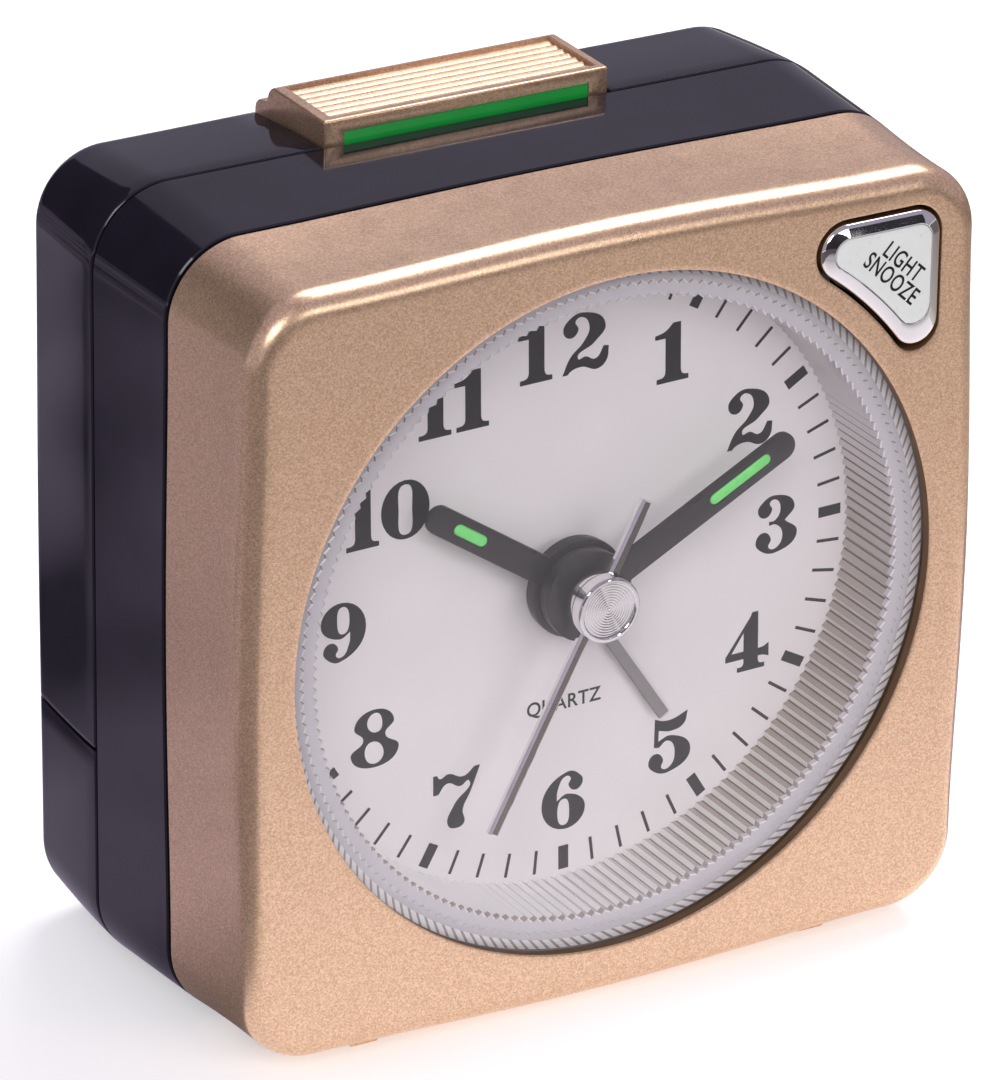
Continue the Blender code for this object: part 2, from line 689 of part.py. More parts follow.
def build_going_train():
    centre_module = pair_module(TRAIN_DISTANCE, 6, 48)
    third_module = pair_module(TRAIN_DISTANCE, 6, 45)
    second_module = pair_module(TRAIN_DISTANCE, 6, 36)
    step_module = pair_module(ROTOR_DISTANCE, 6, 30)
    to_third, to_step = direction(CENTRE, THIRD_ARBOR), direction(CENTRE, STEP_ARBOR)
    to_rotor = direction(STEP_ARBOR, ROTOR_ARBOR)
    rear_end = COVER_END - 0.3

    centre_wheel = node("centre_wheel", wheel_mesh(48, centre_module, CENTRE, to_third, "centre"), "brass")
    cut(centre_wheel, through_hole(1.2))
    on_axis(centre_wheel)

    third_teeth = wheel_mesh(45, third_module, THIRD_ARBOR, to_third + 180, "third")
    third_wheel = node("third_wheel", third_teeth, "white_plastic")
    join(
        third_wheel,
        pinion_mesh(6, centre_module, THIRD_ARBOR, to_third + 180, "centre", end=LEVEL["third"] + 0.2),
        arbor_mesh(THIRD_ARBOR, MIDDLE_START + 0.1, rear_end, 0.45),
    )
    on_axis(third_wheel, THIRD_ARBOR)

    second_teeth = wheel_mesh(36, second_module, CENTRE, to_step, "second")
    second_wheel = node("second_wheel", second_teeth, "white_plastic")
    join(
        second_wheel,
        pinion_mesh(6, third_module, CENTRE, to_third, "third", end=LEVEL["second"] + 0.2),
        arbor_mesh(CENTRE, DIAL_DEPTH - 5.7, rear_end, 0.42),
    )
    on_axis(second_wheel)

    step_teeth = wheel_mesh(30, step_module, STEP_ARBOR, to_rotor, "step")
    step_wheel = node("intermediate_wheel", step_teeth, "white_plastic")
    join(
        step_wheel,
        pinion_mesh(6, second_module, STEP_ARBOR, to_step + 180, "second", end=LEVEL["step"] + 0.2),
        arbor_mesh(STEP_ARBOR, MIDDLE_START + 0.1, rear_end, 0.45),
    )
    on_axis(step_wheel, STEP_ARBOR)

    rotor_teeth = pinion_mesh(6, step_module, ROTOR_ARBOR, to_rotor + 180, "step")
    rotor_pinion = node("rotor_pinion", rotor_teeth, "white_plastic")
    join(rotor_pinion, arbor_mesh(ROTOR_ARBOR, MIDDLE_START + 0.1, rear_end, 0.4))
    on_axis(rotor_pinion, ROTOR_ARBOR)
    magnet = turned_tube(rectangle(15.9, 0.55, 18.4, 2.4), ROTOR_ARBOR, 16)
    on_axis(node("rotor_magnet", magnet, "magnet"), ROTOR_ARBOR)


# ---------------------------------------------------------------- movement


def movement_outline(inset):
    left, right = -MOVEMENT_HALF + inset, MOVEMENT_HALF - inset
    return rectangle(left, MOVEMENT_BOTTOM + inset, right, MOVEMENT_TOP - inset)


def build_movement_frames():
    setting_arbors = (TIME_ARBOR, ALARM_ARBOR)
    train_arbors = (THIRD_ARBOR, STEP_ARBOR, ROTOR_ARBOR)
    pivot_hole, screw_hole = 0.65, 1.05
    plate = node("movement_front_plate", prism(movement_outline(0), PLATE_START, PLATE_END), "white_plastic")
    cut(
        plate,
        through_hole(HOLE_RADIUS),
        *[through_hole(ARBOR_RADIUS + 0.2, place) for place in setting_arbors],
        *[through_hole(screw_hole, place) for place in MOVEMENT_SCREWS],
    )
    middle_outline = rectangle(-7.0, -12.0, 16.0, 15.0)
    middle = node("movement_middle_plate", prism(middle_outline, MIDDLE_START, MIDDLE_END), "white_plastic")
    cut(
        middle,
        through_hole(1.4),
        through_hole(ARBOR_RADIUS + 0.3, ALARM_ARBOR),
        *[through_hole(pivot_hole, place) for place in train_arbors],
    )
    cover = node("movement_cover", prism(movement_outline(0), COVER_START, COVER_END), "black_satin")
    cut(cover, prism(movement_outline(1.0), COVER_START - CLEAR, COVER_END - 1.0))
    join(cover, *[turned([(COVER_START, 1.9), (COVER_END, 1.9)], place) for place in MOVEMENT_SCREWS])
    cut(
        cover,
        *[through_hole(ARBOR_RADIUS + 0.2, place) for place in setting_arbors],
        *[through_hole(pivot_hole, place, 20.0) for place in (*train_arbors, CENTRE)],
        *[through_hole(screw_hole, place) for place in MOVEMENT_SCREWS],
    )
    profile = [(9.6, 0.8), (22.5, 0.8), (22.5, 1.6), (23.2, 1.6)]
    for number, place in enumerate(MOVEMENT_SCREWS, 1):
        screw = node(f"movement_screw_{number}", turned(profile, place), "steel")
        cut_slot(screw, place, profile[-1][0])


def coil_section(half_width, start, end):
    """An (x, depth) rectangle about the coil's axis."""
    return rectangle(COIL_X - half_width, start, COIL_X + half_width, end)


def build_motor():
    x, z = ROTOR_ARBOR
    arm_end, arm_top = 22.4, 15.0
    outline = [
        (x - 3.9, z - 4.0),
        (arm_end, z - 4.0),
        (arm_end, z - 1.6),
        (x + 4.1, z - 1.6),
        (x + 4.1, arm_top - 2.4),
        (arm_end, arm_top - 2.4),
        (arm_end, arm_top),
        (x + 1.7, arm_top),
        (x + 1.7, z + 4.0),
        (x - 3.9, z + 4.0),
    ]
    stator = node("stator", prism(outline, 16.8, 17.6), "steel")
    cut(stator, through_hole(2.8, ROTOR_ARBOR))
    core = rectangle(COIL_X - 1.0, z - 3.6, COIL_X + 1.0, arm_top - 0.4)
    node("coil_core", prism(core, 17.8, 18.5), "steel")

    bottom, top, cheek = z - 0.6, 11.4, 0.7
    bobbin = node("coil_bobbin", upright(coil_section(1.5, 17.2, 19.1), bottom, top), "white_plastic")
    flange = coil_section(2.6, 16.1, 20.2)
    join(bobbin, upright(flange, bottom, bottom + cheek), upright(flange, top - cheek, top))
    cut(bobbin, upright(coil_section(1.1, 17.65, 18.65), bottom - CLEAR, top + CLEAR))
    winding_bottom, winding_top = bottom + cheek + 0.1, top - cheek - 0.1
    outer, inner = coil_section(2.3, 16.4, 19.9), coil_section(1.6, 17.1, 19.2)
    sections = [(outer, winding_bottom), (outer, winding_top), (inner, winding_top), (inner, winding_bottom)]
    rings = [[(px, FRONT_Y + depth, CENTRE_Z + h) for px, depth in section] for section, h in sections]
    node("coil_winding", mesh_from_rings(rings, closed_loop=True), "copper")


def build_electronics():
    node("circuit_board", prism(rectangle(-22.6, -8.6, -10.4, 15.4), 19.9, 20.7), "board")
    node("clock_chip", prism(rectangle(-19.0, -5.0, -15.0, -1.0), 18.8, 19.8), "magnet")
    node("quartz_crystal", along_x([(-20.6, 1.0), (-14.6, 1.0)], 18.6, 9.0, 16), "steel")
    buzzer = [(29.0, 5.8), (29.4, 6.4), (32.4, 6.4), (32.9, 5.8), (32.9, 1.4), (32.2, 1.3)]
    node("buzzer", turned(buzzer, BUZZER_PLACE, 32), "black_satin")
    lamp = [(3.4, 0.7), (3.7, 1.15), (4.4, 1.4), (7.8, 1.4), (7.8, 1.6), (8.3, 1.6)]
    node("lamp", turned(lamp, (19.9, 19.9)), "clear_plastic")


def along_x(profile, depth, z, count=24):
    """A solid of revolution about X, from (x, radius) stations."""
    rings = []
    for x, radius in profile:
        section = circle(radius, count, (FRONT_Y + depth, CENTRE_Z + z))
        rings.append([(x, y, height) for y, height in section])
    return mesh_from_rings(rings)


def helix_tube(turns, start_x, end_x, start_radius, end_radius, wire, steps=12, sides=5):
    """A conical spring of round wire wound about X at the battery's axis."""
    rings = []
    count = int(turns * steps)
    for i in range(count + 1):
        t = i / count
        angle = 2 * math.pi * turns * t
        x = start_x + (end_x - start_x) * t
        radius = start_radius + (end_radius - start_radius) * t
        centre = Vector((x, radius * math.cos(angle), radius * math.sin(angle)))
        outward = Vector((0.0, math.cos(angle), math.sin(angle)))
        ring = []
        for k in range(sides):
            around = 2 * math.pi * k / sides
            point = centre + outward * wire * math.cos(around) + Vector((1, 0, 0)) * wire * math.sin(around)
            ring.append((point.x, FRONT_Y + BATTERY_DEPTH + point.y, CENTRE_Z + BATTERY_Z + point.z))
        rings.append(ring)
    return mesh_from_rings(rings)


def build_battery():
    left, right = BATTERY_LEFT, BATTERY_RIGHT
    shoulder = right - 1.4
    body = [
        (left, 4.5),
        (left + 0.3, 6.6),
        (left + 0.8, BATTERY_RADIUS),
        (shoulder - 0.6, BATTERY_RADIUS),
        (shoulder, 6.5),
        (shoulder, 2.7),
        (right - 0.2, 2.7),
        (right, 2.4),
    ]
    node("battery", along_x(body, BATTERY_DEPTH, BATTERY_Z), "battery_wrap")
    tray = [(-28.6, -13.9), (-28.6, -25.5), (-26.0, -29.9), (26.0, -29.9), (28.6, -25.5), (28.6, -13.9)]
    cradle = node("battery_cradle", prism(tray, 13.5, 24.0), "black_satin")
    bore = along_x([(-27.4, BATTERY_RADIUS + 0.35), (27.4, BATTERY_RADIUS + 0.35)], BATTERY_DEPTH, BATTERY_Z)
    cut(cradle, bore)
    plate = rectangle(24.6, BATTERY_Z - 4.5, 31.0, BATTERY_Z + 4.5)
    node("positive_contact", sideways(plate, right + 0.2, right + 0.6), "steel")
    node("negative_contact", sideways(plate, left - 4.6, left - 4.2), "steel")
    node("negative_spring", helix_tube(3.5, left - 3.7, left - 0.5, 4.2, 2.2, 0.3), "steel")


# ---------------------------------------------------------------- controls


def build_button():
    face = -BUTTON_RISE
    frame_stations = [(0.0, 3.2), (0.0, -0.1), (0.25, -0.3), (1.0, face + 0.1)]
    label_stations = [(1.25, 0.4), (1.25, face + 0.1), (1.4, face)]
    frame_rings, label_rings = (
        [at_depth(button_outline(BUTTON_GAP + inset), depth) for inset, depth in stations]
        for stations in (frame_stations, label_stations)
    )
    frame = node("snooze_button", mesh_from_rings(frame_rings), "chrome", 30)
    join(frame, turned([(3.0, 1.4), (9.6, 1.4)], BUTTON_PIVOT))
    cut(frame, prism(button_outline(BUTTON_GAP + 1.15), -2.0, 0.5))
    label = node("snooze_insert", mesh_from_rings(label_rings), "grey_plastic", 30)
    x, z = BUTTON_PIVOT
    for item in (frame, label):
        set_origin(item, (x, FRONT_Y, CENTRE_Z + z))
    node("snooze_contact", prism(rectangle(20.6, 23.8, 28.0, 26.2), 10.6, 10.9), "brass")


def bar_section():
    """The alarm bar's (depth, z) section: a flat top that rounds over the case's rear edge into a skirt."""
    crown = arc((31.0, BAR_TOP - 1.3), 1.3, 90, 15, 4)
    skirt = arc((33.3, 31.7), 1.0, 80, 0, 4)
    front = [(BAR_START, BAR_BOTTOM), (BAR_START, BAR_TOP - 0.15), (BAR_START + 0.15, BAR_TOP)]
    return front + crown + [(32.4, 32.75)] + skirt + [(34.3, BAR_BOTTOM)]


def build_alarm_bar():
    bar = node("alarm_bar", sideways(bar_section(), BAR_LEFT, BAR_RIGHT), "gold_paint", 35)
    middle, post_half = (BAR_LEFT + BAR_RIGHT) / 2, 4.0
    post_front, post_back = 25.5, 29.7
    post = rectangle(middle - post_half, post_front, middle + post_half, post_back)
    join(bar, upright(post, 26.4, BAR_BOTTOM + 0.5))
    tray = rectangle(BAR_LEFT + 0.9, BAR_START + 0.7, BAR_RIGHT - 0.7, 31.0)
    groove = rectangle(BAR_START - CLEAR, 31.5, BAR_START + 0.4, 33.3)
    cut(
        bar,
        upright(tray, BAR_TOP - 0.35, BAR_TOP + CLEAR),
        sideways(groove, BAR_LEFT + 1.7, BAR_RIGHT - 1.7),
    )
    strip = rectangle(BAR_START + 0.02, 31.6, BAR_START + 0.3, 33.2)
    stripe = node("alarm_bar_stripe", sideways(strip, BAR_LEFT + 1.8, BAR_RIGHT - 1.8), "green_plastic", 0)
    for item in (bar, stripe):
        set_origin(item, (middle, FRONT_Y + BAR_START, CENTRE_Z + BAR_BOTTOM))
    leaf = rectangle(post_front, 24.4, post_back, 24.7)
    node("alarm_switch_contact", sideways(leaf, middle - post_half, middle + post_half), "brass")


def knob_outline(centre, ridges=16):
    """A knurled round outline."""
    groove_radius = KNOB_RADIUS - 0.4
    corners = [(0.0, KNOB_RADIUS), (0.45, KNOB_RADIUS), (0.6, groove_radius), (0.85, groove_radius)]
    points = []
    for i in range(ridges):
        for share, radius in corners:
            angle = 2 * math.pi * (i + share) / ridges
            points.append((centre[0] + radius * math.cos(angle), centre[1] + radius * math.sin(angle)))
    return points


def build_knobs():
    for name, centre in (("time_knob", TIME_ARBOR), ("alarm_knob", ALARM_ARBOR)):
        knob = node(name, prism(knob_outline(centre), KNOB_START, KNOB_END - 0.6), "black_satin", 30)
        join(knob, turned([(KNOB_START + 1, KNOB_RADIUS - 0.9), (KNOB_END, KNOB_RADIUS - 0.9)], centre))
        cut(knob, through_hole(ARBOR_RADIUS + 0.1, centre, KNOB_START - CLEAR, KNOB_END - 1.8))
        on_axis(knob, centre)


clear_scene()
build_bezel()
build_window()
build_mid_case()
build_back_case()
build_battery_door()
build_case_screws()
build_alarm_hand()
build_hour_hand()
build_minute_hand()
build_second_hand()
build_motion_work()
build_going_train()
build_movement_frames()
build_motor()
build_electronics()
build_battery()
build_button()
build_alarm_bar()
build_knobs()
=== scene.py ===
"""The looks of a travel alarm clock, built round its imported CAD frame.

Lengths are in millimetres until at() turns them into metres, and the studio is in metres. A point is given
as x and z from the dial's centre. A depth is a distance behind the flat front face, so it is below 0 where
a piece stands proud of that face.
"""

import json
import math

import bmesh
import bpy
from mathutils import Matrix, Vector


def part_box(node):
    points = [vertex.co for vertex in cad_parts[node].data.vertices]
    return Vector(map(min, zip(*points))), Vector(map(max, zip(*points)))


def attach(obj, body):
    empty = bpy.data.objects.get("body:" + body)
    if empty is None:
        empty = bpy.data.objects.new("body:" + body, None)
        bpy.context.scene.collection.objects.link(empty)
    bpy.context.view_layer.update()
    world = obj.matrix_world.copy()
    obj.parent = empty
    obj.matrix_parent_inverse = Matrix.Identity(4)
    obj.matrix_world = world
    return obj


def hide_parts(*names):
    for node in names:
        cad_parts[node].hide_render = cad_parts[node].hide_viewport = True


MM = 0.001
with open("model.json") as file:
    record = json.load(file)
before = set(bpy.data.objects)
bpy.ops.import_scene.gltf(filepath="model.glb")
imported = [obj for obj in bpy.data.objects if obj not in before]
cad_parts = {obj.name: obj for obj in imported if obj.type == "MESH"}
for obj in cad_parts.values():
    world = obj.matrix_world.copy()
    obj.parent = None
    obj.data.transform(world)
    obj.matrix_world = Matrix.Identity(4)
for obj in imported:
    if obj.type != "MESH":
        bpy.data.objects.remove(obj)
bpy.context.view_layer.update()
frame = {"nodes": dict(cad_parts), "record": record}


def node_box(name):
    """The low and high corners of a CAD node, in millimetres."""
    low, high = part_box(name)
    return low / MM, high / MM


# ---------------------------------------------------------------- sizes

DIAL_LOW, DIAL_HIGH = node_box("dial")
FRONT_Y = node_box("front_bezel")[0].y
CENTRE_Z = (DIAL_LOW.z + DIAL_HIGH.z) / 2
DIAL_DEPTH = DIAL_LOW.y - FRONT_Y
DIAL_RADIUS = DIAL_HIGH.x
CASE_DEPTH = node_box("battery_door")[1].y - FRONT_Y
BASE = -CENTRE_Z
# The case's half height is less than its half width by this much
HEIGHT_DEFICIT = 0.15

# Case sections: half width, corner radius, outward bow of the sides
FRONT = (31.45, 5.8, 0.65)
SEAM = (31.95, 6.1, 0.30)
WIDEST = (32.46, 6.4, 0.04)
BACK = (31.78, 5.8, 0.12)
FRONT_FILLET, BACK_FILLET, WALL = 2.0, 1.8, 1.6
EDGE, FACE_MARGIN = 0.12, 0.25
BEZEL_END, MID_START, MID_END, BACK_START = 12.1, 12.5, 23.0, 23.3
DOOR_TOP = 19.0 - CENTRE_Z
SHELL_BOTTOM = DOOR_TOP + 0.35
RAIL_X, RAIL_HALF = 20.0, 1.2

# Window
OPENING_RADIUS, LIP_DEPTH, SEAT_RADIUS = 27.78, 0.95, 28.6
CRYSTAL_RADIUS, CRYSTAL_START, CRYSTAL_END = 28.4, 1.0, 1.5
RING_INNER, RING_OUTER, FLUTES, FLUTE_DEPTH = 25.25, 26.2, 184, 0.28
FLANGE_START, FLANGE_END = 1.53, 2.1
HATCH_INNER, HATCH_OUTER = 27.1, 27.85

# Dial print
TRACK_INNER, TRACK_OUTER = 22.93, 24.93
NUMERAL_RING, NUMERAL_HEIGHT, PRINT_TURN = 19.1, 4.85, 1.1
WORD_CENTRE, WORD_HEIGHT = (0.25, -10.7), 1.42
PRINT_THICKNESS = 0.02

# Hands: angle clockwise from twelve, reach, and heights above the dial
HOUR_ANGLE, HOUR_REACH, HOUR_BOSS = 304.0, 15.75, 4.04
MINUTE_ANGLE, MINUTE_REACH, MINUTE_BOSS = 62.4, 20.2, 3.68
SECOND_ANGLE, SECOND_REACH, SECOND_TAIL = 207.6, 19.6, 8.7
ALARM_ANGLE, ALARM_REACH = 146.4, 15.95
HOUR_SLOT, MINUTE_SLOT = (10.2, 12.6), (12.4, 17.4)
HAND_WIDTH, THIN_WIDTH, BAND_HALF, CAP_RADIUS = 2.3, 0.95, 0.25, 2.68

# Alarm bar
BAR_LEFT, BAR_RIGHT = -12.7, 12.1
BAR_START, BAR_TOP, BAR_BOTTOM, NOTCH_FLOOR = 23.25, 34.35, 30.75, 29.25
TRAY_DEPTH, TRAY_START, TRAY_END = 0.6, 23.95, 31.0

# Front button
BUTTON_GAP, BUTTON_RISE = 0.3, 0.7

# Rear side
KNOB_RADIUS, KNOB_START, KNOB_END, RECESS_DEPTH = 5.4, 28.0, 34.6, 27.2
RECESS = (-16.3, -2.4, 18.0, 13.6)
SCREW_PLACES = [(-27.0, 26.0), (27.0, 26.0), (-27.0, -10.0), (27.0, -10.0)]
BUZZER_PLACE = (-17.5, 22.0)
TIME_ARBOR = (-8.6603, 5.0)
ALARM_ARBOR = (10.3923, 6.0)


def at(x, z, depth):
    return Vector((x, FRONT_Y + depth, CENTRE_Z + z)) * MM


# ---------------------------------------------------------------- outlines


def arc(centre, radius, start, end, count):
    """Points on an arc, from start to end in degrees from +X towards +Z."""
    points = []
    for i in range(count + 1):
        angle = math.radians(start + (end - start) * i / count)
        points.append((centre[0] + radius * math.cos(angle), centre[1] + radius * math.sin(angle)))
    return points


def circle(radius, count=192, centre=(0.0, 0.0)):
    return arc(centre, radius, 0, 360, count)[:-1]


def rectangle(left, bottom, right, top):
    return [(left, bottom), (right, bottom), (right, top), (left, top)]


def turned_point(x, z, turn):
    """A point turned anticlockwise about the dial's centre by turn radians."""
    return (x * math.cos(turn) - z * math.sin(turn), x * math.sin(turn) + z * math.cos(turn))


def case_outline(section, grow=0.0, corner_steps=24, side_steps=20):
    """A square with round corners whose sides bow out smoothly."""
    half, corner, bow = section[0] + grow, section[1] + grow, section[2]
    half_z = half - HEIGHT_DEFICIT
    centres = [(half - corner, half_z - corner), (corner - half, half_z - corner)]
    centres += [(-x, -z) for x, z in centres]
    points = []
    for i, centre in enumerate(centres):
        turn = arc(centre, corner, 90 * i, 90 * i + 90, corner_steps)
        points += turn
        start = Vector(turn[-1])
        end = Vector(arc(centres[(i + 1) % 4], corner, 90 * i + 90, 90 * i + 90, 1)[0])
        outward = Vector(arc((0, 0), 1.0, 90 * i + 90, 90 * i + 90, 1)[0])
        for k in range(1, side_steps):
            share = k / side_steps
            points.append(tuple(start.lerp(end, share) + outward * bow * (1 - (2 * share - 1) ** 2) ** 2))
    return points


def button_corner(limit, ring, radius, on_side):
    """Centre of a corner circle that touches a straight side and, from outside, the ring round the dial."""
    along = limit - radius
    other = math.sqrt((ring + radius) ** 2 - along**2)
    return (along, other) if on_side else (other, along)


def button_outline(inset, steps=16):
    """Two straight sides, one side round the dial, and three round corners."""
    side, top, ring = 27.84 - inset, 28.62 - inset, 29.8 + inset
    left_radius, bottom_radius, top_radius = 2.58 - inset, 2.08 - inset * 0.5, 2.5 - inset
    left = button_corner(top, ring, left_radius, False)
    bottom = button_corner(side, ring, bottom_radius, True)
    left_angle = math.degrees(math.atan2(left[1], left[0]))
    bottom_angle = math.degrees(math.atan2(bottom[1], bottom[0]))
    points = arc((side - top_radius, top - top_radius), top_radius, 0, 90, steps)
    points += arc(left, left_radius, 90, left_angle + 180, steps)
    points += arc((0, 0), ring, left_angle, bottom_angle, steps)[1:-1]
    points += arc(bottom, bottom_radius, bottom_angle - 180, 0, steps)
    return points


def heading(clock_degrees):
    angle = math.radians(clock_degrees)
    return Vector((math.sin(angle), math.cos(angle)))


def side_of(along):
    """The direction across a hand or a mark, on its clockwise side."""
    return Vector((along.y, -along.x))


def stadium(angle, start, end, radius, steps=12):
    """The outline round a straight bar with round ends that points along a clock angle."""
    along = 90 - angle
    tip, root = heading(angle) * end, heading(angle) * start
    return arc(tip, radius, along - 90, along + 90, steps) + arc(root, radius, along + 90, along + 270, steps)


def keyhole(angle, boss, reach, width, inset=0.0, steps=72):
    """A round boss with a straight round-ended blade along a clock angle."""
    along = 90 - angle
    radius, half = boss - inset, width / 2 - inset
    mouth = math.degrees(math.asin(half / radius))
    tip = heading(angle) * (reach - width / 2)
    points = arc(tip, half, along - 90, along + 90, 16)
    return points + arc((0, 0), radius, along + mouth, along + 360 - mouth, steps)


def fluted(radius, depth=FLUTE_DEPTH, lean=0.64):
    """A ring of saw-tooth flutes: each falls slowly over a share of its pitch and comes back up fast."""
    points = []
    for i in range(FLUTES):
        for share, drop in ((0.0, 0.0), (lean * 0.75, depth * 0.75), (lean, depth)):
            angle = 2 * math.pi * (i + share) / FLUTES
            points.append(((radius + drop) * math.cos(angle), (radius + drop) * math.sin(angle)))
    return points


def smooth_outline(knots, steps=7, handle_share=0.39):
    """A closed outline: it runs smoothly through (x, z) knots and turns sharply at (x, z, "c") knots."""
    places = [Vector(knot[:2]) for knot in knots]
    corners = [len(knot) == 3 for knot in knots]
    count = len(knots)

    def handle(i, sense):
        here, before, after = places[i], places[i - 1], places[(i + 1) % count]
        other = after if sense > 0 else before
        if corners[i]:
            return here.lerp(other, 1 / 3)
        along = (after - here).normalized() + (here - before).normalized()
        return here + along.normalized() * sense * (other - here).length * handle_share

    points = []
    for i in range(count):
        k = (i + 1) % count
        pieces = 1 if corners[i] and corners[k] else steps
        start, first, second, end = places[i], handle(i, 1), handle(k, -1), places[k]
        for step in range(pieces):
            t = step / pieces
            u = 1 - t
            points.append(tuple(start * u**3 + first * 3 * u * u * t + second * 3 * u * t * t + end * t**3))
    return points


# ---------------------------------------------------------------- mesh building


class Shape:
    """A mesh in the making: rings of points are bridged into walls, and flat areas filled between rings."""

    def __init__(self):
        self.mesh = bmesh.new()

    def points(self, places):
        return [self.mesh.verts.new(place) for place in places]

    def ring(self, outline, depth):
        return self.points([at(x, z, depth) for x, z in outline])

    def wall(self, *rings, slot=0):
        self.striped_wall(*rings, slots=(slot,))

    def striped_wall(self, *rings, slots):
        """Walls whose faces take the slots in turn along each ring."""
        for first, second in zip(rings, rings[1:]):
            count = len(first)
            for i in range(count):
                k = (i + 1) % count
                face = self.mesh.faces.new((first[i], first[k], second[k], second[i]))
                face.material_index = slots[i % len(slots)]

    def fill(self, *rings, slot=0):
        edges = []
        for ring in rings:
            for i, start in enumerate(ring):
                end = ring[(i + 1) % len(ring)]
                edges.append(self.mesh.edges.get((start, end)) or self.mesh.edges.new((start, end)))
        made = bmesh.ops.triangle_fill(self.mesh, use_beauty=True, edges=edges)
        for item in made["geom"]:
            if isinstance(item, bmesh.types.BMFace):
                item.material_index = slot

    def stack(self, outlines, slot=0):
        """Rings for (outline, depth) pairs, with walls between them."""
        rings = [self.ring(outline, depth) for outline, depth in outlines]
        self.wall(*rings, slot=slot)
        return rings

    def data(self, name):
        bmesh.ops.recalc_face_normals(self.mesh, faces=self.mesh.faces)
        made = bpy.data.meshes.new(name)
        self.mesh.to_mesh(made)
        self.mesh.free()
        return made


def placed(name, data):
    """A new object in the scene."""
    made = bpy.data.objects.new(name, data)
    bpy.context.scene.collection.objects.link(made)
    return made


def evaluated_mesh(maker):
    """The mesh that an object gives, which is then removed."""
    graph = bpy.context.evaluated_depsgraph_get()
    made = bpy.data.meshes.new_from_object(maker.evaluated_get(graph))
    bpy.data.objects.remove(maker, do_unlink=True)
    return made


def piece(name, mesh, body, materials, replaced=(), smooth=35):
    """Puts a finished mesh in the scene, on its body, in place of the CAD nodes named."""
    made = placed(name, mesh)
    slots = [face.material_index for face in mesh.polygons]
    mesh.materials.clear()
    for item in materials if isinstance(materials, (list, tuple)) else [materials]:
        mesh.materials.append(item)
    for face, index in zip(mesh.polygons, slots):
        face.material_index = min(index, len(mesh.materials) - 1)
    mesh.shade_smooth()
    mesh.set_sharp_from_angle(angle=math.radians(smooth))
    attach(made, body)
    if replaced:
        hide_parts(*replaced)
    return made


def solid_mesh(stations):
    """A solid through (outline, depth) stations, with flat ends."""
    shape = Shape()
    rings = shape.stack(stations)
    shape.fill(rings[0])
    shape.fill(rings[-1])
    return shape.data("solid")


def prism_mesh(outline, start, end):
    return solid_mesh([(outline, start), (outline, end)])


def slotted_prism(x, z, half_length, radius, steps, deep):
    """A cutter for a round-ended slot that goes into the rear face."""
    outline = arc((x + half_length, z), radius, -90, 90, steps)
    outline += arc((x - half_length, z), radius, 90, 270, steps)
    return prism_mesh(outline, CASE_DEPTH - deep, CASE_DEPTH + 1)


def turned_mesh(profile, centre=(0.0, 0.0), count=48, closed=False):
    """A solid of revolution about the depth direction, from (depth, radius) stations."""
    shape = Shape()
    rings = [shape.ring(circle(radius, count, centre), depth) for depth, radius in profile]
    if closed:
        rings.append(rings[0])
    shape.wall(*rings)
    if not closed:
        shape.fill(rings[0])
        shape.fill(rings[-1])
    return shape.data("turned")


def swept_mesh(sections):
    """A solid through closed (depth, z) sections, each at its own x."""
    shape = Shape()
    rings = [shape.points([at(x, z, depth) for depth, z in section]) for x, section in sections]
    shape.wall(*rings)
    shape.fill(rings[0])
    shape.fill(rings[-1])
    return shape.data("swept")


def combined(mesh, operation, others):
    """The mesh after one exact Boolean with each of the others."""
    target = placed("target", mesh)
    helpers = [placed("helper", other) for other in others]
    for helper in helpers:
        modifier = target.modifiers.new("combine", "BOOLEAN")
        modifier.operation = operation
        modifier.solver = "EXACT"
        modifier.object = helper
    result = evaluated_mesh(target)
    for helper in helpers:
        bpy.data.objects.remove(helper, do_unlink=True)
    return result


def softened(mesh, width=0.12, segments=2, angle=40):
    """The mesh with its sharp edges rounded."""
    target = placed("target", mesh)
    bevel = target.modifiers.new("bevel", "BEVEL")
    bevel.width = width * MM
    bevel.segments = segments
    bevel.limit_method = "ANGLE"
    bevel.angle_limit = math.radians(angle)
    bevel.use_clamp_overlap = True
    return evaluated_mesh(target)


def joined(meshes):
    """One mesh that holds several separate closed shapes."""
    whole = bmesh.new()
    for mesh in meshes:
        whole.from_mesh(mesh)
        bpy.data.meshes.remove(mesh)
    made = bpy.data.meshes.new("joined")
    whole.to_mesh(made)
    whole.free()
    return made


# ---------------------------------------------------------------- materials


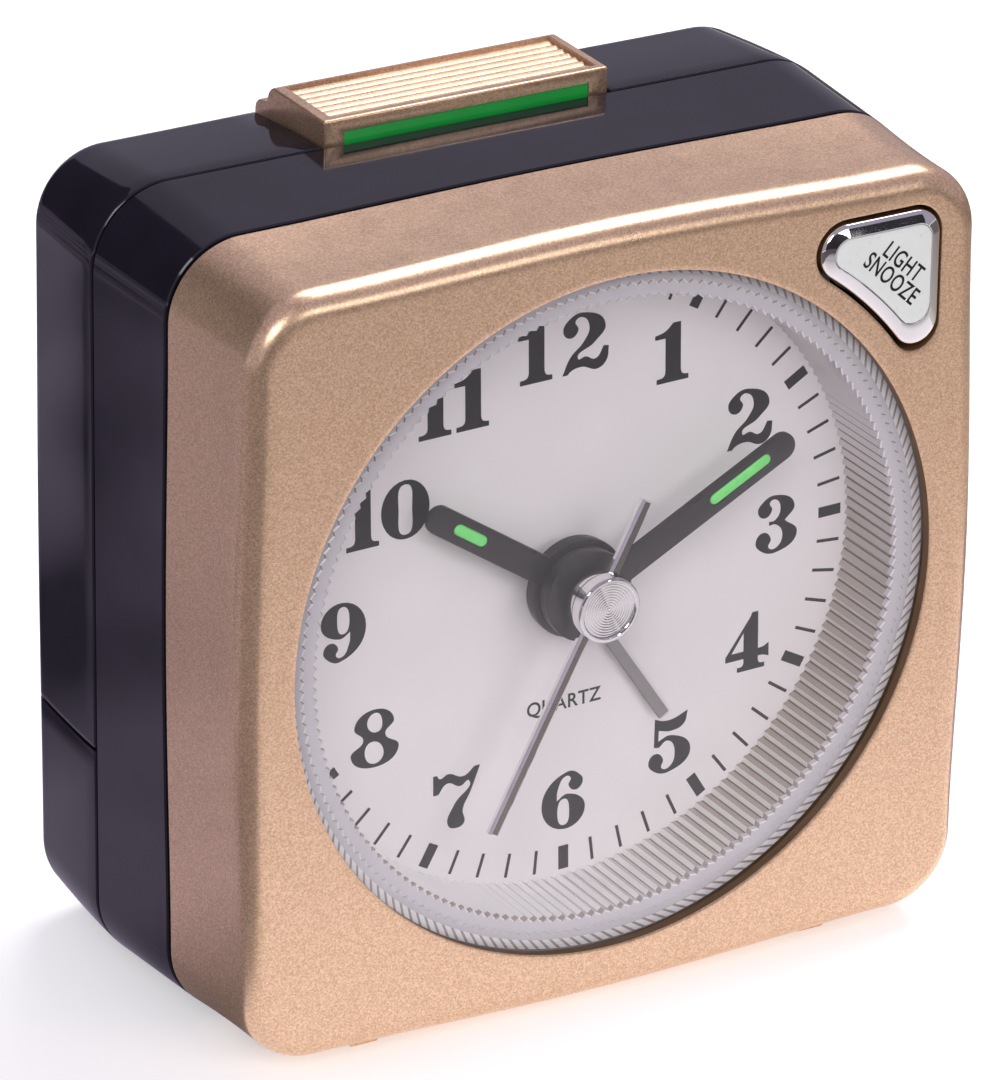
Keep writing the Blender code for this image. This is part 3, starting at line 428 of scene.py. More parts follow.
class Finish:
    """A Principled material with the node helpers that the finishes share."""

    def __init__(self, name, colour, metallic=0.0, roughness=0.4, **sockets):
        self.material = bpy.data.materials.new(name)
        self.material.use_nodes = True
        self.tree = self.material.node_tree
        self.shader = self.tree.nodes["Principled BSDF"]
        self.shader.inputs["Base Color"].default_value = (*colour, 1.0)
        self.shader.inputs["Metallic"].default_value = metallic
        self.shader.inputs["Roughness"].default_value = roughness
        self.material.diffuse_color = (*colour, 1.0)
        self.colour = colour
        for socket, value in sockets.items():
            self.shader.inputs[socket.replace("_", " ")].default_value = value
        self.place = self.tree.nodes.new("ShaderNodeTexCoord").outputs["Object"]

    def link(self, start, end):
        self.tree.links.new(start, end)

    def through(self, kind, value, entry, leave, **inputs):
        """The leave socket of a new node that takes the value at its entry socket."""
        node = self.tree.nodes.new("ShaderNode" + kind)
        for socket, start in inputs.items():
            node.inputs[socket.replace("_", " ")].default_value = start
        self.link(value, node.inputs[entry])
        return node.outputs[leave]

    def noise(self, size, detail=3.0, scale=(1.0, 1.0, 1.0)):
        """Soft noise whose features are about size millimetres across."""
        stretched = self.through("Mapping", self.place, "Vector", "Vector", Scale=scale)
        return self.through("TexNoise", stretched, "Vector", "Fac", Scale=1.0 / (size * MM), Detail=detail)

    def flakes(self, size):
        """Cells about size millimetres across, each with its own random value."""
        cells = self.through("TexVoronoi", self.place, "Vector", "Color", Scale=1.0 / (size * MM))
        return self.through("SeparateColor", cells, "Color", 0)

    def along(self, direction):
        """The distance in metres along a direction."""
        product = self.tree.nodes.new("ShaderNodeVectorMath")
        product.operation = "DOT_PRODUCT"
        product.inputs[1].default_value = direction
        self.link(self.place, product.inputs[0])
        return product.outputs["Value"]

    def slope(self, direction, middle):
        """A value that rises along a direction across the dial, and is middle at the dial's centre."""
        shift = self.tree.nodes.new("ShaderNodeMath")
        shift.operation = "ADD"
        shift.inputs[1].default_value = middle - Vector(direction).z * CENTRE_Z / (2 * DIAL_RADIUS)
        self.link(self.along(Vector(direction) / (2 * DIAL_RADIUS * MM)), shift.inputs[0])
        return shift.outputs["Value"]

    def rise(self, direction, start, end):
        """A value that goes from 0 to 1 between two distances in metres along a direction."""
        limits = {"From_Min": start, "From_Max": end}
        return self.through("MapRange", self.along(direction), "Value", "Result", **limits)

    def colours(self, value, dark, light, low=0.3, high=0.7):
        ramp = self.tree.nodes.new("ShaderNodeValToRGB")
        ramp.color_ramp.elements[0].position = low
        ramp.color_ramp.elements[0].color = (*dark, 1.0)
        ramp.color_ramp.elements[1].position = high
        ramp.color_ramp.elements[1].color = (*light, 1.0)
        self.link(value, ramp.inputs["Fac"])
        self.link(ramp.outputs["Color"], self.shader.inputs["Base Color"])
        return self

    def mottled(self, size, dark, light):
        """The finish's own colour, wavering softly between two shares of its brightness."""
        return self.colours(self.noise(size), scaled(self.colour, dark), scaled(self.colour, light))

    def glow(self):
        """Moves the colour from the surface to its own light."""
        link = self.shader.inputs["Base Color"].links[0]
        self.link(link.from_socket, self.shader.inputs["Emission Color"])
        self.tree.links.remove(link)
        self.shader.inputs["Base Color"].default_value = (0.0, 0.0, 0.0, 1.0)

    def roughness(self, value, low, high):
        """Roughness from low to high over the middle part of the value's range."""
        limits = {"From_Min": 0.3, "From_Max": 0.7, "To_Min": low, "To_Max": high}
        mapped = self.through("MapRange", value, "Value", "Result", **limits)
        self.link(mapped, self.shader.inputs["Roughness"])
        return self

    def bump(self, value, height, strength=1.0):
        """Relief from a value, height millimetres deep."""
        normal = self.through("Bump", value, "Height", "Normal", Distance=height * MM, Strength=strength)
        self.link(normal, self.shader.inputs["Normal"])
        return self


def scaled(colour, factor):
    return tuple(min(1.0, channel * factor) for channel in colour)


def moulded(name, colour, roughness, grain=0.5, spread=0.12, relief=0.004, **sockets):
    """Moulded plastic: faint mottling, uneven gloss and a fine surface."""
    made = Finish(name, colour, 0.0, roughness, **sockets)
    made.mottled(grain * 6, 1 - spread, 1 + spread)
    made.roughness(made.noise(grain * 3), roughness * 0.85, roughness * 1.2)
    made.bump(made.noise(grain), relief)
    return made.material


def metal(name, colour, roughness, brushed=(1.0, 1.0, 1.0), spread=0.08):
    """Bare metal with fine marks that can run along one direction."""
    made = Finish(name, colour, 1.0, roughness)
    lines = made.noise(0.35, 4.0, brushed)
    made.colours(lines, scaled(colour, 1 - spread), scaled(colour, 1 + spread))
    made.roughness(lines, roughness * 0.8, roughness * 1.3)
    made.bump(lines, 0.002)
    return made.material


def gold_lacquer():
    """Champagne lacquer: fine metal flakes under a soft sheen."""
    made = Finish("gold_lacquer", (0.76, 0.5, 0.32), 0.82, 0.29)
    flakes = made.flakes(0.11)
    made.colours(flakes, (0.61, 0.395, 0.25), (0.90, 0.625, 0.435), 0.0, 1.0)
    made.roughness(made.noise(2.5), 0.27, 0.31)
    made.bump(flakes, 0.003, 0.3)
    return made.material


def black_moulding():
    """High-gloss black with the slight waviness of a thin moulded wall."""
    made = Finish("black_moulding", (0.010, 0.008, 0.014), 0.0, 0.07, IOR=1.5)
    made.mottled(6.0, 0.8, 1.3)
    made.roughness(made.noise(4.0), 0.05, 0.1)
    made.bump(made.noise(7.0, 1.0), 0.012)
    return made.material


def smooth_paint(name, colour):
    """Smooth paint with a dull sheen."""
    made = Finish(name, colour, 0.0, 0.3, Specular_IOR_Level=0.35)
    made.mottled(4.0, 0.9, 1.1)
    made.roughness(made.noise(2.0), 0.27, 0.33)
    return made.material


def dial_card():
    """Matt printed card with a faint grain."""
    made = Finish("dial_paper", (0.86, 0.81, 0.83), 0.0, 0.45)
    made.mottled(9.0, 0.98, 1.02)
    made.roughness(made.noise(0.6), 0.4, 0.5)
    made.bump(made.noise(0.25), 0.002)
    return made.material


def chrome_plate():
    """Bright plating with slightly uneven polish."""
    made = Finish("chrome_plate", (0.84, 0.825, 0.84), 1.0, 0.05)
    made.mottled(3.0, 0.97, 1.03)
    made.roughness(made.noise(1.2), 0.035, 0.075)
    return made.material


def clear_styrene(name, roughness, transmission, tint):
    """Clear moulded plastic, from a polished pane to a cloudy fluted wall."""
    made = Finish(name, tint, 0.0, roughness, IOR=1.49, Transmission_Weight=transmission)
    made.mottled(8.0, 0.985, 1.0)
    made.roughness(made.noise(3.0), roughness * 0.7, roughness * 1.3)
    return made.material


def rib_styrene(name, cool, warm):
    """Cloudy fluted plastic with a painted warm reflection of the gold shell low on the right."""
    made = Finish(name, cool, 0.0, 0.16, IOR=1.49, Transmission_Weight=0.3)
    # Painted reflection: the colour turns from cool to warm brown towards the lower right, by position across
    # the dial.
    made.colours(made.slope((0.8, 0.0, -0.6), 0.5), cool, warm, 0.78, 0.98)
    made.roughness(made.noise(2.0), 0.12, 0.2)
    return made.material


GOLD = gold_lacquer()
GOLD_EDGE = moulded("gold_edge", (0.11, 0.055, 0.02), 0.4)
BLACK = black_moulding()
BOSS_PAINT = smooth_paint("boss_paint", (0.010, 0.008, 0.012))
SATIN = moulded("black_satin", (0.022, 0.02, 0.024), 0.38)
HAND_PAINT = moulded("hand_paint", (0.016, 0.013, 0.018), 0.32, 1.5, 0.05, 0.0005)
CARD = dial_card()
INK = moulded("dial_ink", (0.009, 0.007, 0.010), 0.5, 0.2, Specular_IOR_Level=0.25)
CHROME = chrome_plate()
GLASS = clear_styrene("clear_window", 0.01, 1.0, (0.98, 0.975, 0.98))
RIBBED = rib_styrene("clear_ribs", (0.72, 0.67, 0.69), (0.36, 0.29, 0.245))
# Painted shade and painted highlight copies of the fluted plastic, for the narrow faces of each flute.
RIB_PAINTED_SHADE = rib_styrene("clear_rib_painted_shade", (0.19, 0.135, 0.11), (0.13, 0.085, 0.05))
RIB_PAINTED_HIGHLIGHT = rib_styrene("clear_rib_painted_highlights", (0.98, 0.95, 0.97), (0.95, 0.92, 0.89))
RIBS = [RIBBED, RIB_PAINTED_SHADE, RIB_PAINTED_HIGHLIGHT]
FLANGE_CLEAR = clear_styrene("clear_flange", 0.12, 0.45, (0.76, 0.72, 0.77))
# Painted shade and painted highlight copies of the clear flange plastic, for its toothed steps and slanting
# marks.
FLANGE_PAINTED_SHADE = clear_styrene("clear_flange_painted_shade", 0.12, 0.3, (0.40, 0.325, 0.28))
FLANGE_PAINTED_HIGHLIGHT = clear_styrene("clear_flange_painted_highlights", 0.12, 0.3, (0.95, 0.92, 0.95))
FLANGE = [FLANGE_CLEAR, FLANGE_PAINTED_SHADE, FLANGE_PAINTED_HIGHLIGHT]
# A dark copy of the plating: a painted dark reflection for the flat top of the second hand.
CHROME_PAINTED_REFLECTION = metal("chrome_painted_reflection", (0.15, 0.125, 0.115), 0.14)
GREY = moulded("grey_insert", (0.60, 0.615, 0.58), 0.3, 0.4, 0.02)
GREEN = moulded("green_strip", (0.012, 0.36, 0.05), 0.18, 0.5, 0.06)
LUME_GLOW = {"Emission_Color": (0.1, 0.9, 0.15, 1.0), "Emission_Strength": 0.12}
LUME = moulded("lume_paint", (0.19, 0.70, 0.19), 0.5, 0.12, 0.08, 0.006, **LUME_GLOW)
WHITE = moulded("white_moulding", (0.72, 0.72, 0.68), 0.4)
STEEL = metal("plain_steel", (0.55, 0.55, 0.56), 0.3, (1.0, 1.0, 0.2))
ALARM_STEEL = metal("alarm_hand_metal", (0.30, 0.285, 0.29), 0.35)
BRASS = metal("turned_brass", (0.70, 0.50, 0.22), 0.28)
COPPER = metal("enamelled_copper", (0.62, 0.26, 0.11), 0.3, (1.0, 1.0, 6.0))
MAGNET = moulded("dark_epoxy", (0.05, 0.05, 0.055), 0.5)
BOARD = moulded("board_laminate", (0.03, 0.16, 0.06), 0.35, 0.8, 0.2)
WRAP = moulded("battery_wrap", (0.05, 0.12, 0.30), 0.25, 0.8, 0.1, 0.002)

BY_SLOT = {
    "gold_paint": GOLD,
    "black_gloss": BLACK,
    "black_satin": SATIN,
    "clear_plastic": GLASS,
    "dial_card": CARD,
    "white_plastic": WHITE,
    "grey_plastic": GREY,
    "green_plastic": GREEN,
    "lume": LUME,
    "chrome": CHROME,
    "steel": STEEL,
    "brass": BRASS,
    "copper": COPPER,
    "magnet": MAGNET,
    "board": BOARD,
    "battery_wrap": WRAP,
}


def dress_cad_nodes():
    """Gives every CAD node that stays in view its finish by the record's slot."""
    for subpart in frame["record"]["subparts"]:
        mesh = frame["nodes"][subpart["node"]].data
        mesh.materials.clear()
        mesh.materials.append(BY_SLOT[subpart["material_slot"]])


# ---------------------------------------------------------------- case


def blended(first, second, share):
    return tuple(a + (b - a) * share for a, b in zip(first, second))


def fillet(section, face_depth, radius, sense, steps=10):
    """Stations of a section that rounds over into a flat face.

    The sense is 1 where the wall lies behind the face, and -1 where it lies in front of it.
    """
    found = []
    for i in range(1, steps + 1):
        angle = math.pi / 2 * i / steps
        inset = radius * (1 - math.cos(angle))
        found.append((case_outline(section, -inset), face_depth + sense * radius * (1 - math.sin(angle))))
    return found


def rail_mesh(x, start, end, top):
    """A low rail on the bottom with rounded long edges."""
    low, half = BASE, RAIL_HALF
    outline = [(x - half, top), (x - half, low + EDGE), (x - half + EDGE, low)]
    outline += [(x + half - EDGE, low), (x + half, low + EDGE), (x + half, top)]
    return prism_mesh(outline, start, end)


def rails(start, end, top):
    return [rail_mesh(side * RAIL_X, start, end, top) for side in (-1, 1)]


def bezel_stations():
    """The gold side wall: it flares out gently towards the seam."""
    steps = 10
    found = []
    for i in range(steps + 1):
        share = 1 - i / steps
        section = blended(FRONT, SEAM, share**1.7)
        found.append((case_outline(section), FRONT_FILLET + (BEZEL_END - 0.15 - FRONT_FILLET) * share))
    return found


def build_bezel():
    """The gold front: a rounded face with the dial's opening and the button's, and its side wall."""
    shape = Shape()
    rear_edge = (case_outline(SEAM, -EDGE), BEZEL_END)
    outer = shape.stack([rear_edge] + bezel_stations() + fillet(FRONT, 0.0, FRONT_FILLET, 1))
    face = shape.ring(case_outline(FRONT, -FRONT_FILLET - FACE_MARGIN), 0.0)
    shape.wall(outer[-1], face)
    back = LIP_DEPTH + WALL
    hole = shape.stack([(circle(OPENING_RADIUS + 0.5), 0.0), (circle(OPENING_RADIUS + 0.16), 0.0)])
    rim = [(circle(OPENING_RADIUS + 0.05), 0.04), (circle(OPENING_RADIUS), 0.14)]
    lip = [(circle(OPENING_RADIUS), LIP_DEPTH), (circle(SEAT_RADIUS), LIP_DEPTH), (circle(SEAT_RADIUS), back)]
    rim_rings = [shape.ring(*station) for station in rim]
    shape.wall(hole[-1], *rim_rings)
    lip_rings = [shape.ring(*station) for station in lip]
    shape.wall(rim_rings[-1], *lip_rings, slot=1)
    button_edge = [(-0.3, 0.0), (-0.12, 0.0), (-0.03, 0.04)]
    button = shape.stack([(button_outline(inset), depth) for inset, depth in button_edge])
    walls = [shape.ring(button_outline(0.0), 0.14), shape.ring(button_outline(0.0), back)]
    shape.wall(button[-1], walls[0])
    shape.wall(*walls, slot=1)
    shape.fill(face, hole[0], button[0])
    inner_front = shape.ring(case_outline(FRONT, -WALL), back)
    inner_rear = shape.ring(case_outline(SEAM, -WALL), BEZEL_END)
    shape.fill(inner_front, lip_rings[-1], walls[1], slot=1)
    shape.wall(inner_front, inner_rear, slot=1)
    shape.wall(inner_rear, outer[0], slot=1)
    mesh = joined([shape.data("bezel")] + rails(3.2, 11.0, BASE + 1.0))
    piece("bezel", mesh, "case", [GOLD, GOLD_EDGE], ["front_bezel"])


def build_window():
    profile = [
        (CRYSTAL_START, CRYSTAL_RADIUS - 1.0),
        (CRYSTAL_START, CRYSTAL_RADIUS - EDGE),
        (CRYSTAL_START + EDGE, CRYSTAL_RADIUS),
        (CRYSTAL_END - EDGE, CRYSTAL_RADIUS),
        (CRYSTAL_END, CRYSTAL_RADIUS - EDGE),
        (CRYSTAL_END, CRYSTAL_RADIUS - 1.0),
    ]
    window = piece("window", turned_mesh(profile, count=192), "case", GLASS, ["crystal"])
    window.visible_shadow = False
    build_skirt()


def build_skirt():
    """The deep clear skirt, fluted inside and out, with a flange behind the window."""
    shape = Shape()
    rear = DIAL_DEPTH - 0.1
    inner = [shape.ring(fluted(RING_INNER), depth) for depth in (FLANGE_END, rear)]
    outer = [shape.ring(fluted(RING_OUTER), depth) for depth in (FLANGE_END, rear)]
    for rings in (inner, outer):
        # Each flute's faces take the plain plastic, its painted-shade copy and its painted-highlight copy in
        # turn.
        shape.striped_wall(*rings, slots=(0, 1, 2))
    for rings in zip(inner, outer):
        shape.wall(*rings)
    skirt = piece("window_skirt", shape.data("skirt"), "case", RIBS, ["light_ring"], 20)
    skirt.visible_shadow = False
    build_flange(len(inner[0]))


def turned_back(outline, steps):
    """The same ring of points, started some steps further round."""
    return outline[steps:] + outline[:steps]


def build_flange(count):
    """The skirt's flat rim behind the window: two toothed steps, and slanting marks by the lip.

    The first slot of a pair is on two thirds of every flute, and the second on the rest. The shade and light
    slots are copies of the clear plastic with painted shade and painted highlights.
    """
    shape = Shape()
    lip, step, rear = FLANGE_START, 0.09, FLANGE_END - 0.02
    # Slots 1 and 2 are the painted-shade and painted-highlight copies of the clear plastic.
    clear, shade, light = 0, 1, 2
    rim = circle(CRYSTAL_RADIUS - 0.1, count)
    stations = [
        (fluted(RING_INNER), rear, (clear, shade)),
        (fluted(RING_INNER), lip + 0.06, (light, shade)),
        (fluted(RING_INNER + 0.1), lip, (clear, clear)),
        (fluted(RING_OUTER + 0.1), lip, (light, shade)),
        (fluted(RING_OUTER + 0.22), lip + step, (clear, clear)),
        (circle(HATCH_INNER, count), lip + step, (light, shade)),
        (turned_back(circle(HATCH_OUTER, count), 3), lip + step, (clear, clear)),
        (turned_back(rim, 3), rear, (clear, clear)),
    ]
    rings = [shape.ring(outline, depth) for outline, depth, _ in stations]
    for number, (_, _, (most, rest)) in enumerate(stations):
        following = rings[(number + 1) % len(rings)]
        shape.striped_wall(rings[number], following, slots=(most, most, rest))
    flange = piece("window_flange", shape.data("flange"), "case", FLANGE, smooth=20)
    flange.visible_shadow = False


def build_mid_case():
    """The black band behind the gold front: it widens towards the rear."""
    shape = Shape()
    steps = 6
    start = blended(SEAM, WIDEST, 0.06)
    stations = [(case_outline(start, -EDGE), MID_START), (case_outline(start), MID_START + EDGE)]
    for i in range(1, steps + 1):
        depth = MID_START + EDGE + (MID_END - MID_START - 2 * EDGE) * i / steps
        stations.append((case_outline(blended(start, WIDEST, i / steps)), depth))
    stations += [(case_outline(WIDEST, -EDGE), MID_END)]
    stations += [(case_outline(WIDEST, -WALL), MID_END), (case_outline(SEAM, -WALL), MID_START)]
    rings = shape.stack(stations)
    shape.wall(rings[-1], rings[0])
    mesh = joined([shape.data("mid")] + rails(MID_START + 0.8, MID_END - 0.6, BASE + 1.0))
    piece("mid_shell", mesh, "case", BLACK, ["mid_case"])


def rear_shell_mesh():
    """The whole rear of the case, hollow and open to the front."""
    steps = 6
    wall_start, wall_end = BACK_START + EDGE, CASE_DEPTH - BACK_FILLET
    stations = [(case_outline(WIDEST, -EDGE), BACK_START)]
    for i in range(steps + 1):
        depth = wall_start + (wall_end - wall_start) * i / steps
        stations.append((case_outline(blended(WIDEST, BACK, (i / steps) ** 1.4)), depth))
    stations += fillet(BACK, CASE_DEPTH, BACK_FILLET, -1)
    stations.append((case_outline(BACK, -BACK_FILLET - FACE_MARGIN), CASE_DEPTH))
    inner = (BACK[0] - WALL - 0.4, BACK[1] - WALL, BACK[2])
    hollow = [(case_outline(WIDEST, -WALL), BACK_START - 1), (case_outline(inner), CASE_DEPTH - WALL)]
    shape = Shape()
    rings = shape.stack(stations)
    shape.fill(rings[-1])
    shape.fill(rings[0])
    return combined(shape.data("rear"), "DIFFERENCE", [solid_mesh(hollow)])


# Half the size of a cutter that has to reach past the case on every side
CLEAR = 40.0


def block(left, bottom, right, top, start, end):
    return prism_mesh(rectangle(left, bottom, right, top), start, end)


def build_back_case():
    """The rear shell above the door: its shelf, knob recess, bar notch, screw wells and sound slots."""
    left, bottom, right, top = RECESS
    thin = 1.2
    ledge, cheek_top, half = NOTCH_FLOOR - 1.4, 31.0, 31.0
    notch_left, notch_right = BAR_LEFT - 0.3, BAR_RIGHT + 0.3
    outer_left, outer_right = BAR_LEFT - 1.6, BAR_RIGHT + 1.6
    added = [
        block(-half, SHELL_BOTTOM, half, SHELL_BOTTOM + thin, BACK_START, CASE_DEPTH - 0.8),
        block(left - thin, bottom - thin, right + thin, top + thin, RECESS_DEPTH - thin, CASE_DEPTH - 0.5),
        block(outer_left, ledge, outer_right, NOTCH_FLOOR, BACK_START, CASE_DEPTH - 0.8),
        block(outer_left, ledge, notch_left, cheek_top, BACK_START, CASE_DEPTH - thin),
        block(notch_right, ledge, outer_right, cheek_top, BACK_START, CASE_DEPTH - thin),
    ]
    added += [turned_mesh([(BACK_START, 2.9), (CASE_DEPTH - 0.4, 2.9)], place, 32) for place in SCREW_PLACES]
    removed = [
        block(-CLEAR, -CLEAR, CLEAR, SHELL_BOTTOM, BACK_START - 1, CASE_DEPTH + 1),
        block(left, bottom, right, top, RECESS_DEPTH, CASE_DEPTH + 1),
        block(notch_left, NOTCH_FLOOR, notch_right, CLEAR, BACK_START - 1, CASE_DEPTH + 1),
        block(-4.7, NOTCH_FLOOR - 3, 4.1, NOTCH_FLOOR + 1, 25.1, 30.1),
    ]
    removed += [turned_mesh([(20.0, 0.85), (30.0, 0.85)], place, 24) for place in (TIME_ARBOR, ALARM_ARBOR)]
    for place in SCREW_PLACES:
        removed.append(turned_mesh([(26.5, 2.3), (CASE_DEPTH + 1, 2.3)], place, 32))
    x, z = BUZZER_PLACE
    removed += [slotted_prism(x, z + 2.4 * k, 3.9, 0.6, 8, 4) for k in (-1, 0, 1)]
    mesh = combined(rear_shell_mesh(), "UNION", added)
    mesh = combined(mesh, "DIFFERENCE", removed)
    piece("rear_shell", softened(mesh, 0.15), "case", BLACK, ["back_case"])


def arrow_outline(x, z, size):
    return [(x - size, z), (x + size, z), (x, z - size * 1.2)]


def build_battery_door():
    """The rear shell's lower part, with grip slots and an arrow."""
    removed = [block(-CLEAR, DOOR_TOP, CLEAR, CLEAR, BACK_START - 1, CASE_DEPTH + 1)]
    removed += [slotted_prism(0.0, -20.0 - 1.8 * k, 6.6, 0.45, 6, 0.6) for k in range(4)]
    removed.append(prism_mesh(arrow_outline(0.0, -16.0, 1.6), CASE_DEPTH - 0.3, CASE_DEPTH + 1))
    mesh = combined(rear_shell_mesh(), "DIFFERENCE", removed)
    mesh = joined([softened(mesh, 0.15)] + rails(BACK_START + 0.8, CASE_DEPTH - 3.0, BASE + 1.2))
    piece("door_shell", mesh, "door", BLACK, ["battery_door"])


def build_case_screws():
    """Cross-headed screws at the bottom of their wells."""
    profile = [(17.0, 0.9), (26.7, 0.9), (26.7, 1.9), (27.3, 1.9), (27.6, 1.72), (27.8, 1.3), (27.9, 0.6)]
    long, narrow = 1.1, 0.22
    for number, (x, z) in enumerate(SCREW_PLACES, 1):
        head = turned_mesh(profile, (x, z), 40)
        cross = [block(x - a, z - b, x + a, z + b, 27.35, 29) for a, b in ((long, narrow), (narrow, long))]
        mesh = combined(head, "DIFFERENCE", cross)
        piece(f"rear_screw_{number}", mesh, "case", STEEL, [f"case_screw_{number}"])


# ---------------------------------------------------------------- dial

# Bold slab-serif figures, on a grid where a figure is 100 tall. Each has an outer line and then its holes,
# whose knots are in the notation of smooth_outline.
FIGURES = {
    "0": [
        [(43, 100), (86, 50), (43, 0), (0, 50)],
        [(43, 93), (55, 50), (43, 7), (31, 50)],
    ],
    "1": [
        [(50, 100, "c"), (50, 18, "c"), (53, 11), (64, 8, "c"), (64, 0, "c"), (6, 0, "c"), (6, 8, "c"),
         (19, 11), (22, 18, "c"), (22, 76, "c"), (3, 76, "c"), (3, 83, "c"), (22, 88), (36, 100, "c")],
    ],
    "2": [
        [(42, 100), (80, 73), (60, 46), (30, 24), (44, 25), (62, 18), (77, 37, "c"), (86, 35, "c"),
         (81, 10), (65, 0), (36, 9), (14, 3), (12, 0, "c"), (2, 0, "c"), (17, 29), (41, 51), (51, 74),
         (38, 93), (26, 88), (31, 73), (17, 61), (4, 74), (15, 93)],
    ],
    "3": [
        [(38, 100), (73, 77), (55, 53, "c"), (78, 27), (38, 0), (9, 9), (1, 25), (15, 39), (29, 26),
         (25, 11), (37, 7), (51, 28), (38, 49), (26, 49, "c"), (26, 56, "c"), (36, 56), (47, 76), (37, 93),
         (27, 89), (31, 76), (18, 64), (5, 76), (14, 92)],
    ],
    "4": [
        [(62, 101, "c"), (62, 35, "c"), (72, 36), (82, 41, "c"), (82, 17, "c"), (72, 21), (62, 22, "c"),
         (62, 14, "c"), (65, 9), (74, 8, "c"), (74, 0, "c"), (23, 0, "c"), (23, 8, "c"), (32, 9),
         (35, 14, "c"), (35, 22, "c"), (1, 22, "c"), (1, 31, "c"), (48, 94, "c"), (51, 101, "c")],
        [(35, 35, "c"), (35, 68, "c"), (12, 35, "c")],
    ],
    "5": [
        [(13, 99, "c"), (27, 93), (44, 92), (74, 102, "c"), (66, 79), (44, 72), (20, 77, "c"),
         (19, 58, "c"), (43, 64), (79, 32), (38, 0), (9, 8), (1, 24), (14, 37), (28, 25), (25, 10), (37, 7),
         (50, 31), (37, 56), (20, 47, "c"), (11, 49, "c")],
    ],
    "6": [
        [(48, 100), (71, 91), (77, 77), (64, 65), (51, 76), (55, 88), (46, 93), (31, 72), (29, 52, "c"),
         (49, 61), (81, 31), (42, 0), (1, 47)],
        [(42, 54), (52, 31), (42, 7), (30, 32)],
    ],
    "7": [
        [(5, 100, "c"), (12, 100, "c"), (17, 93), (32, 98), (60, 88), (80, 101, "c"), (90, 101, "c"),
         (72, 58), (58, 30), (60, 6), (46, 0), (31, 8), (43, 42), (70, 78), (54, 72), (30, 82),
         (14, 66, "c"), (5, 66, "c")],
    ],
    "8": [
        [(44, 100), (79, 77), (63, 54), (87, 27), (44, 0), (1, 26), (24, 50), (8, 75)],
        [(46, 94), (58, 78), (50, 60), (31, 76)],
        [(38, 45), (60, 23), (44, 6), (26, 24)],
    ],
}
FIGURE_WIDTHS = {"0": 86, "1": 66, "2": 86, "3": 79, "4": 83, "5": 80, "6": 82, "7": 90, "8": 88, "9": 82}


def figure_outlines(character):
    if character == "9":
        return [[(82 - x, 100 - z) for x, z in outline] for outline in figure_outlines("6")]
    return [smooth_outline(knots) for knots in FIGURES[character]]


def printed_mesh(groups, depth, turn=0.0):
    """A thin printed layer; a group is an outer line with the lines of its holes."""
    shape = Shape()
    angle = math.radians(turn)
    for group in groups:
        fronts, backs = [], []
        for outline in group:
            turned = [turned_point(x, z, angle) for x, z in outline]
            stations = [(turned, depth - PRINT_THICKNESS), (turned, depth + PRINT_THICKNESS / 4)]
            front, back = shape.stack(stations)
            fronts.append(front)
            backs.append(back)
        shape.fill(*fronts)
        shape.fill(*backs)
    return shape.data("print")


def numeral_groups(hour):
    """The figures of one hour, in the dial's millimetres."""
    text = str(hour)
    gap = {12: 14, 11: 1, 10: 2}.get(hour, 0)
    unit = NUMERAL_HEIGHT / 100
    total = sum(FIGURE_WIDTHS[c] for c in text) + gap * (len(text) - 1)
    ring = NUMERAL_RING - (1.4 if hour == 10 else 0.0)
    centre = heading(30 * hour) * ring
    left = centre.x - total * unit / 2
    groups = []
    for character in text:
        group = []
        for outline in figure_outlines(character):
            group.append([(left + x * unit, centre.y + (z - 50) * unit) for x, z in outline])
        groups.append(group)
        left += (FIGURE_WIDTHS[character] + gap) * unit
    return groups


def build_dial():
    rear = DIAL_DEPTH + 0.6
    hole, edge = 2.9, 0.1
    profile = [(DIAL_DEPTH, hole), (DIAL_DEPTH, DIAL_RADIUS - edge), (DIAL_DEPTH + edge, DIAL_RADIUS)]
    profile += [(rear, DIAL_RADIUS), (rear, hole)]
    piece("dial_plate", turned_mesh(profile, count=144, closed=True), "case", CARD, ["dial"])
    groups = []
    for hour in range(1, 13):
        groups += numeral_groups(hour)
    piece("dial_numerals", printed_mesh(groups, DIAL_DEPTH, PRINT_TURN), "case", INK)
    ticks = []
    for minute in range(60):
        half = 0.44 if minute % 5 == 0 else 0.13
        along = heading(6 * minute)
        across = side_of(along) * half
        inner, outer = along * TRACK_INNER, along * TRACK_OUTER
        ticks.append([[tuple(p) for p in (inner - across, inner + across, outer + across, outer - across)]])
    piece("dial_minute_track", printed_mesh(ticks, DIAL_DEPTH, PRINT_TURN), "case", INK)
    place = (WORD_CENTRE, PRINT_TURN, DIAL_DEPTH)
    lettering("dial_word", "QUARTZ", WORD_HEIGHT, *place, "case", "dial_card", 0.95, 0.012, 1.05)


